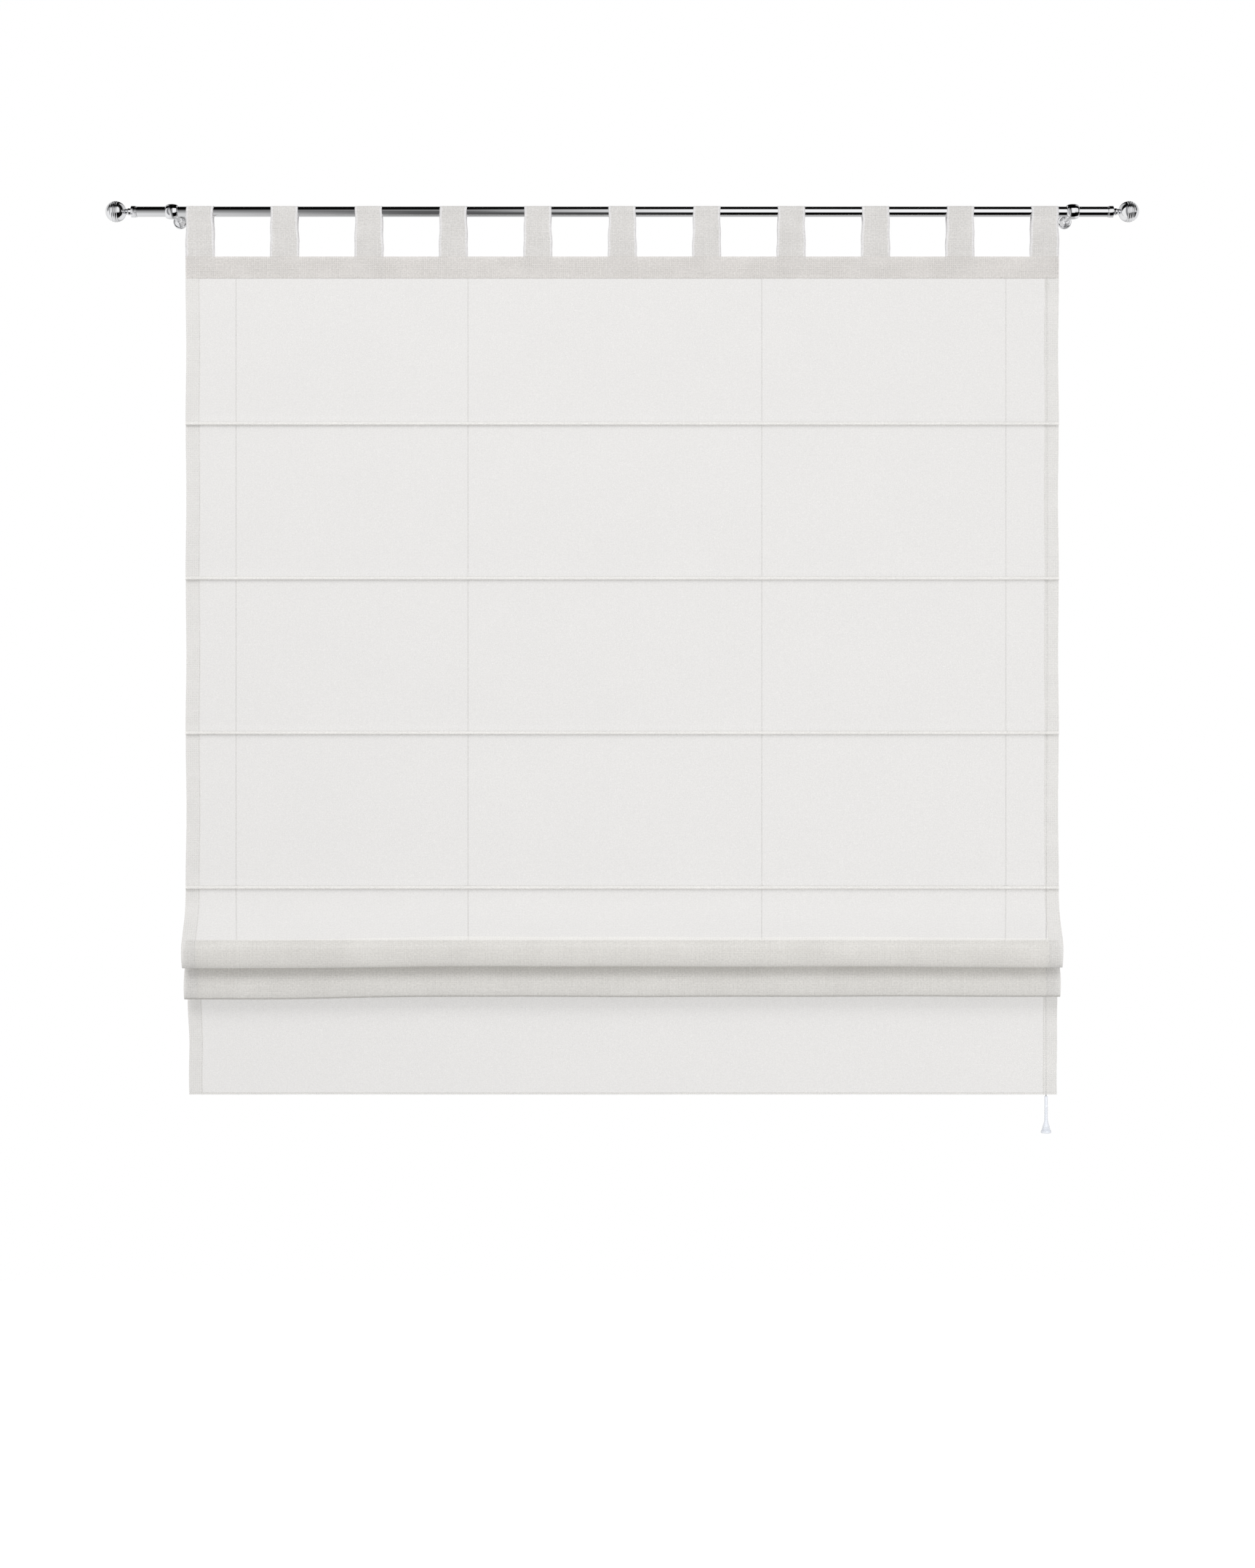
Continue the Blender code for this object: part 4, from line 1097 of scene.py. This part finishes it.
def arm_profile():
    """Arm and ribbed rosette, from the holder's side down to the wall, with the disc's seat."""
    arm_top, edge = 0.0722, 0.0012
    flare = ARM_RADIUS + 0.0030
    ribs_top = ROSETTE_RIM + ROSETTE_RIBS * RIB_PITCH
    seat = DISC_RADIUS + FIT
    seat_depth = DISC_THICKNESS + FIT
    profile = [(ARM_RADIUS + 0.0001, arm_top), (ARM_RADIUS + 0.0005, arm_top - 0.0006)]
    profile += arc((flare, arm_top - 0.0036), (0.0030, 0.0030), 90, 180, 6)[1:]
    profile += [(ARM_RADIUS, ribs_top + 0.012)]
    profile += arc((flare, ribs_top + 0.0065), (0.0030, 0.0045), 180, 235, 6)
    for rib in reversed(range(ROSETTE_RIBS)):
        valley = RIB_BASE_RADIUS - RIB_TAPER * rib - RIB_DEPTH
        base = ROSETTE_RIM + RIB_PITCH * rib
        profile += [(valley, base + RIB_PITCH * 0.98)]
        profile += arc((valley, base + RIB_PITCH * 0.5), (RIB_DEPTH, RIB_PITCH * 0.40), 75, -75, 8)
        profile += [(valley, base + RIB_PITCH * 0.02)]
    profile += [(RIB_BASE_RADIUS - RIB_DEPTH, ROSETTE_RIM), (ROSETTE_RADIUS - edge, ROSETTE_RIM)]
    profile += arc((ROSETTE_RADIUS - edge, ROSETTE_RIM - edge), (edge, edge), 80, 0, 5)
    profile += [(ROSETTE_RADIUS, 0.0002), (ROSETTE_RADIUS - 0.0002, 0.0), (seat, 0.0)]
    profile += [(seat, seat_depth), (0.0, seat_depth)]
    return profile


def disc_profile():
    hole, sink = 0.0026, 0.0046
    return [
        (sink, DISC_THICKNESS),
        (DISC_RADIUS - 0.0005, DISC_THICKNESS),
        (DISC_RADIUS - 0.0001, DISC_THICKNESS - 0.0001),
        (DISC_RADIUS, DISC_THICKNESS - 0.0005),
        (DISC_RADIUS, 0.0),
        (hole, 0.0),
        (hole, 0.0010),
    ]


def screw_shape(x):
    """Countersunk head with a small round recess, plain shank and a thread down to the point."""
    top = DISC_THICKNESS - FIT
    shank, root = SCREW_SHANK_RADIUS, 0.00135
    thread_pitch = 0.0016
    profile = [(0.0, top - 0.0012), (0.0007, top - 0.0012), (0.0011, top)]
    profile += [(SCREW_HEAD_RADIUS - 0.0002, top), (SCREW_HEAD_RADIUS, top - 0.0002)]
    profile += [(shank, top - SCREW_HEAD_HEIGHT), (shank - 0.0001, top - 0.0100)]
    z = top - 0.0106
    while z > top - 0.0385:
        taper = min(1.0, (z - top + 0.0405) / 0.0065)
        profile += [
            (root * taper, z),
            (shank * taper, z - 0.00045),
            (shank * taper, z - 0.00060),
            (root * taper, z - 0.00110),
        ]
        z -= thread_pitch
    profile += [(0.0, top - 0.0399)]
    return turned(profile, 20, (0, -1, 0), (x, 0, 0))


for word, side in SIDES:
    x = side * BRACKET_X
    finial_shape = turned(finial_profile(), 64, (side, 0, 0), (side * rod_half, ROD_Y, 0))
    finial = add_mesh(f"ball_finial_{word}", *finial_shape, chrome, sharp=40)
    finish_piece(finial, [f"finial_{word}"])
    bracket_shape = joined(
        turned(holder_profile(), 56, (1, 0, 0), (x, ROD_Y, 0), closed=True),
        turned(arm_profile(), 48, (0, -1, 0), (x, 0, 0)),
    )
    bracket = add_mesh(f"rod_bracket_{word}", *bracket_shape, chrome, sharp=40)
    finish_piece(bracket, [f"bracket_{word}"])
    disc_shape = turned(disc_profile(), 48, (0, -1, 0), (x, 0, 0), closed=True)
    disc = add_mesh(f"fixing_disc_{word}", *disc_shape, steel, sharp=40)
    finish_piece(disc, [f"wall_disc_{word}"])
    screw = add_mesh(f"wood_screw_{word}", *screw_shape(x), steel, sharp=50)
    finish_piece(screw, [f"wall_screw_{word}"])

fibre = plastic_material("glass_fibre", (0.84, 0.84, 0.80), (0.70, 0.70, 0.66), 0.40, 0.1)
for pocket in range(POCKETS):
    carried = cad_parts[f"pocket_rod_{pocket + 1}"]
    carried.data.materials.clear()
    carried.data.materials.append(fibre)


# Floor, world and lamps

floor_material, floor_tree, floor_shader = new_material("floor_pale", 0.9)
floor_shader.inputs["Base Color"].default_value = (0.62, 0.62, 0.62, 1.0)
glow = floor_tree.nodes.new("ShaderNodeEmission")
glow.inputs["Strength"].default_value = 1.14
blend_in = floor_tree.nodes.new("ShaderNodeMixShader")
floor_tree.links.new(floor_shader.outputs[0], blend_in.inputs[1])
floor_tree.links.new(glow.outputs[0], blend_in.inputs[2])
rays = floor_tree.nodes.new("ShaderNodeLightPath")
seen = calc(floor_tree, "MAXIMUM", rays.outputs["Is Camera Ray"], rays.outputs["Is Transmission Ray"])
seen = calc(floor_tree, "MULTIPLY", seen, 0.85)
floor_tree.links.new(seen, blend_in.inputs[0])
floor_tree.links.new(blend_in.outputs[0], floor_tree.nodes["Material Output"].inputs["Surface"])
floor_corners = [(-4, -4, -2.3), (4, -4, -2.3), (4, 3, -2.3), (-4, 3, -2.3)]
floor = add_mesh("floor", floor_corners, [(0, 1, 2, 3)], floor_material)
floor.visible_glossy = False

world = bpy.data.worlds.new("studio")
bpy.context.scene.world = world
world.use_nodes = True
sky = world.node_tree
background = sky.nodes["Background"]
path_kind = sky.nodes.new("ShaderNodeLightPath")
direction = sky.nodes.new("ShaderNodeTexCoord").outputs["Generated"]
sideways, depth, upward = separate(sky, direction)
turn = calc(sky, "ARCTAN2", upward, calc(sky, "MULTIPLY", depth, -1.0))
share = calc(sky, "MULTIPLY_ADD", turn, 1 / (2 * pi), 0.5)


def studio(stops):
    """Light and dark cards round the curtain rod, by the turn from straight ahead towards up."""
    return ramp(sky, share, [(degrees / 360 + 0.5, shade) for degrees, shade in stops])


def blend(value, start, end):
    """0 to 1 as a direction's part goes from start to end."""
    scale = 1 / (end - start)
    return calc(sky, "MULTIPLY_ADD", value, scale, -start * scale, clamp=True)


# Rooms along the rod, then for each ball: turns from behind by way of below, ahead and above
CEILING = [(150, 0.0), (165, 0.5)]
pale_room = studio([(-180, 0.7), (-60, 0.8), (40, 0.0), *CEILING])
dim_room = studio([(-180, 0.6), (-60, 0.1), (0, 0.1), (20, 0.3), (46, 0.0), *CEILING])
window = [(-30, 0.0), (-20, 1.0), (40, 1.0), (50, 0.0)]
window_room = studio([(-180, 0.5), (-100, 0.5), (-90, 0.0), *window, *CEILING])
BALL_CEILING = [(95, 0.0), (110, 0.5), (165, 0.8)]
left_ball = studio([(-180, 0.8), (-90, 0.9), (45, 0.9), (55, 0.0), *BALL_CEILING])
ball_window = [(-25, 0.0), (-10, 0.9), (45, 0.9), (55, 0.0)]
right_ball = studio([(-180, 0.8), (-100, 0.8), (-85, 0.0), *ball_window, *BALL_CEILING])
cards = mix_colors(sky, blend(sideways, -0.18, -0.08), pale_room, dim_room)
cards = mix_colors(sky, blend(sideways, -0.06, 0.03), cards, window_room)
cards = mix_colors(sky, blend(sideways, -0.24, -0.32), cards, left_ball)
cards = mix_colors(sky, blend(sideways, 0.24, 0.32), cards, right_ball)
round_about = calc(sky, "ARCTAN2", sideways, calc(sky, "MULTIPLY", depth, -1.0))


def upright_card(start, end, edge, nearest, strength):
    """A tall dark card between two angles round the room, seen by the rounder fittings alone."""
    low, high, soft_edge = radians(start), radians(end), radians(edge)
    card = calc(
        sky,
        "MULTIPLY",
        blend(round_about, low, low + soft_edge),
        blend(round_about, high, high - soft_edge),
    )
    card = calc(sky, "MULTIPLY", card, blend(sideways, nearest, 1.3 * nearest))
    return calc(sky, "MULTIPLY", card, strength)


cards = mix_colors(sky, upright_card(-44, -20, 4, -0.24, 0.80), cards, (0.09, 0.09, 0.10))
cards = mix_colors(sky, upright_card(48, 78, 4, 0.24, 0.97), cards, (0.01, 0.01, 0.01))
soft = mix_colors(sky, blend(upward, -0.8, 0.8), (0.41, 0.41, 0.415), (0.69, 0.69, 0.695))
ambient = mix_colors(sky, path_kind.outputs["Is Glossy Ray"], soft, cards)
plain = calc(sky, "MAXIMUM", path_kind.outputs["Is Camera Ray"], path_kind.outputs["Is Transmission Ray"])
sky.links.new(mix_colors(sky, plain, ambient, (1.0, 1.0, 1.0)), background.inputs["Color"])
background.inputs["Strength"].default_value = 1.0


LAMP_AIM = Vector((0, 0, -0.8))


def lamp(name, place, size, power):
    """A soft lamp that looks at the blind and isn't mirrored in the metal."""
    data = bpy.data.lights.new(name, "AREA")
    data.shape = "RECTANGLE"
    data.size, data.size_y = size
    data.energy = power
    piece = add_object(name, data)
    piece.location = place
    piece.rotation_euler = (LAMP_AIM - Vector(place)).to_track_quat("-Z", "Y").to_euler()
    piece.visible_glossy = False


lamp("key", (-1.2, -3.0, 1.9), (2.6, 2.0), 60)
lamp("fill", (1.6, -4.0, -1.5), (2.4, 1.4), 57)
lamp("back", (0.6, 3.0, 0.8), (2.4, 2.4), 70)

bpy.context.scene.view_settings.view_transform = "Standard"
